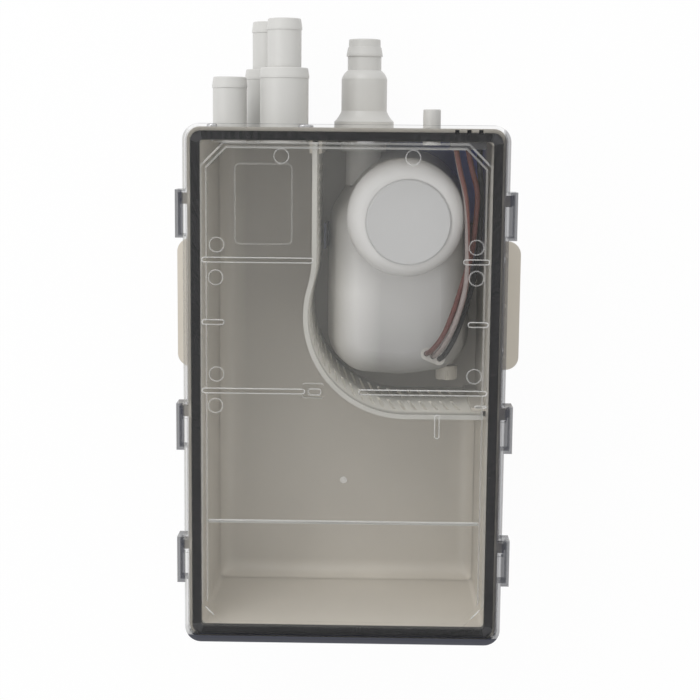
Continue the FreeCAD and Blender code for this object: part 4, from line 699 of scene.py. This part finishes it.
def ribLoop(x0, y0, x1, y1, half, z, steps=10):
    # Round an end: half a circle about each end of the middle line, joined by straight sides.
    heading = math.atan2(y1 - y0, x1 - x0)
    a = np.linspace(-math.pi / 2, math.pi / 2, steps)
    ends = [np.stack([cx + half * np.cos(a + turn), cy + half * np.sin(a + turn), np.full_like(a, z)], -1)
            for cx, cy, turn in ((x1, y1, heading), (x0, y0, heading + math.pi))]
    return np.concatenate(ends) * mm


def joinPieces(pieces, name):
    bpy.ops.object.select_all(action="DESELECT")
    for piece in pieces:
        piece.select_set(True)
    bpy.context.view_layer.objects.active = pieces[0]
    bpy.ops.object.join()
    pieces[0].name = name
    pieces[0].data.name = name
    return pieces[0]


lineLook = dict(clearLook, turnFrom=0.05, turnTo=0.8)
ringLook = dict(lineLook, colour=(0.82, 0.82, 0.81), faceOn=0.17, edgeOn=0.60)
highlightLook = dict(lineLook, colour=(0.86, 0.86, 0.85), faceOn=0.40, edgeOn=0.85)
clearMark = clearPlastic("clearMark", dict(lineLook, faceOn=0.05, edgeOn=0.40))
clearRing = clearPlastic("clearRing", ringLook)
paintedHighlight = clearPlastic("paintedHighlight", highlightLook)
z = lidMarks["under"] - lidMarks["sink"]
line = lidMarks["discLine"] * mm
discs = [ringAround("disc", circleLoop(x, y, z, lidMarks["discRadius"]), line, clearRing)
         for x, y in lidMarks["discs"]]
discs.append(ringAround("gate", circleLoop(*lidMarks["gate"], z, lidMarks["gateRadius"]),
                        lidMarks["gateLine"] * mm, clearRing))
ejectorRings = joinPieces(discs, "ejectorRings")
x0, x1, y0, y1 = lidMarks["frame"]
labelFrame = ringAround("labelFrame", frameLoop(x0, x1, y0, y1, lidMarks["frameCorner"], z),
                        lidMarks["frameLine"] * mm, clearMark)
# Painted highlight beads around the ribs and the low chamfers.
highlightBeads = [ringAround("rib", ribLoop(*rib, lidMarks["ribRise"]), lidMarks["ribLine"] * mm, paintedHighlight)
         for rib in lidMarks["ribs"]]
ribHighlights = joinPieces(highlightBeads, "ribHighlights")
for piece in (ejectorRings, labelFrame, ribHighlights):
    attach(piece, "lid")


# Floor, world and lamps.
print("studio")
studio = {
    "floorSize": 6.0,
    "floorColour": (0.86, 0.86, 0.86),
    "worldLight": 0.80,
    "seenWhite": 1.0,
    "floorShow": 0.95,
}
lamps = {
    "keyLamp": {"place": (-0.55, 1.50, 1.15), "aim": (0.0, 0.0, 0.05), "size": 0.9, "power": 9.5},
    "fillLamp": {"place": (-1.10, 0.15, 1.25), "aim": (0.0, 0.0, 0.05), "size": 1.0, "power": 4.5},
}


def seenDirect(tree):
    # One where a camera, glossy or transmission ray looks, else nought.
    rays = addNode(tree, "ShaderNodeLightPath")
    seen = mathNode(tree, "MAXIMUM", rays.outputs["Is Camera Ray"], rays.outputs["Is Glossy Ray"])
    return mathNode(tree, "MAXIMUM", seen, rays.outputs["Is Transmission Ray"])


floorMesh = bpy.data.meshes.new("studioFloor")
half = studio["floorSize"] / 2
corners = [(-half, -half, 0), (half, -half, 0), (half, half, 0), (-half, half, 0)]
floorMesh.from_pydata(corners, [], [(0, 1, 2, 3)])
studioFloor = bpy.data.objects.new("studioFloor", floorMesh)
bpy.context.scene.collection.objects.link(studioFloor)
floorFinish, tree, shader, output = newMaterial("floorFinish")
shader.inputs["Base Color"].default_value = (*studio["floorColour"], 1)
shader.inputs["Roughness"].default_value = 0.9
glow = addNode(tree, "ShaderNodeEmission")
glow.inputs["Strength"].default_value = studio["seenWhite"]
blendShow = addNode(tree, "ShaderNodeMixShader")
tree.links.new(mathNode(tree, "MULTIPLY", seenDirect(tree), studio["floorShow"]), blendShow.inputs[0])
tree.links.new(shader.outputs[0], blendShow.inputs[1])
tree.links.new(glow.outputs[0], blendShow.inputs[2])
tree.links.new(blendShow.outputs[0], output.inputs["Surface"])
floorMesh.materials.append(floorFinish)

world = bpy.data.worlds.new("studioWorld")
bpy.context.scene.world = world
world.use_nodes = True
tree = world.node_tree
tree.nodes.clear()
worldOutput = tree.nodes.new("ShaderNodeOutputWorld")
lightSide = addNode(tree, "ShaderNodeBackground")
lightSide.inputs["Strength"].default_value = studio["worldLight"]
lightSide.inputs["Color"].default_value = (1, 1, 1, 1)
seenSide = addNode(tree, "ShaderNodeBackground")
seenSide.inputs["Strength"].default_value = studio["seenWhite"]
seenSide.inputs["Color"].default_value = (1, 1, 1, 1)
blendWorld = addNode(tree, "ShaderNodeMixShader")
tree.links.new(seenDirect(tree), blendWorld.inputs[0])
tree.links.new(lightSide.outputs[0], blendWorld.inputs[1])
tree.links.new(seenSide.outputs[0], blendWorld.inputs[2])
tree.links.new(blendWorld.outputs[0], worldOutput.inputs["Surface"])

for name, lamp in lamps.items():
    data = bpy.data.lights.new(name, "AREA")
    data.size = lamp["size"]
    data.energy = lamp["power"]
    holder = bpy.data.objects.new(name, data)
    bpy.context.scene.collection.objects.link(holder)
    holder.location = lamp["place"]
    away = np.array(lamp["place"]) - np.array(lamp["aim"])
    flat = math.hypot(away[0], away[1])
    holder.rotation_euler = (math.atan2(flat, away[2]), 0, math.atan2(away[0], -away[1]))

print("finish")
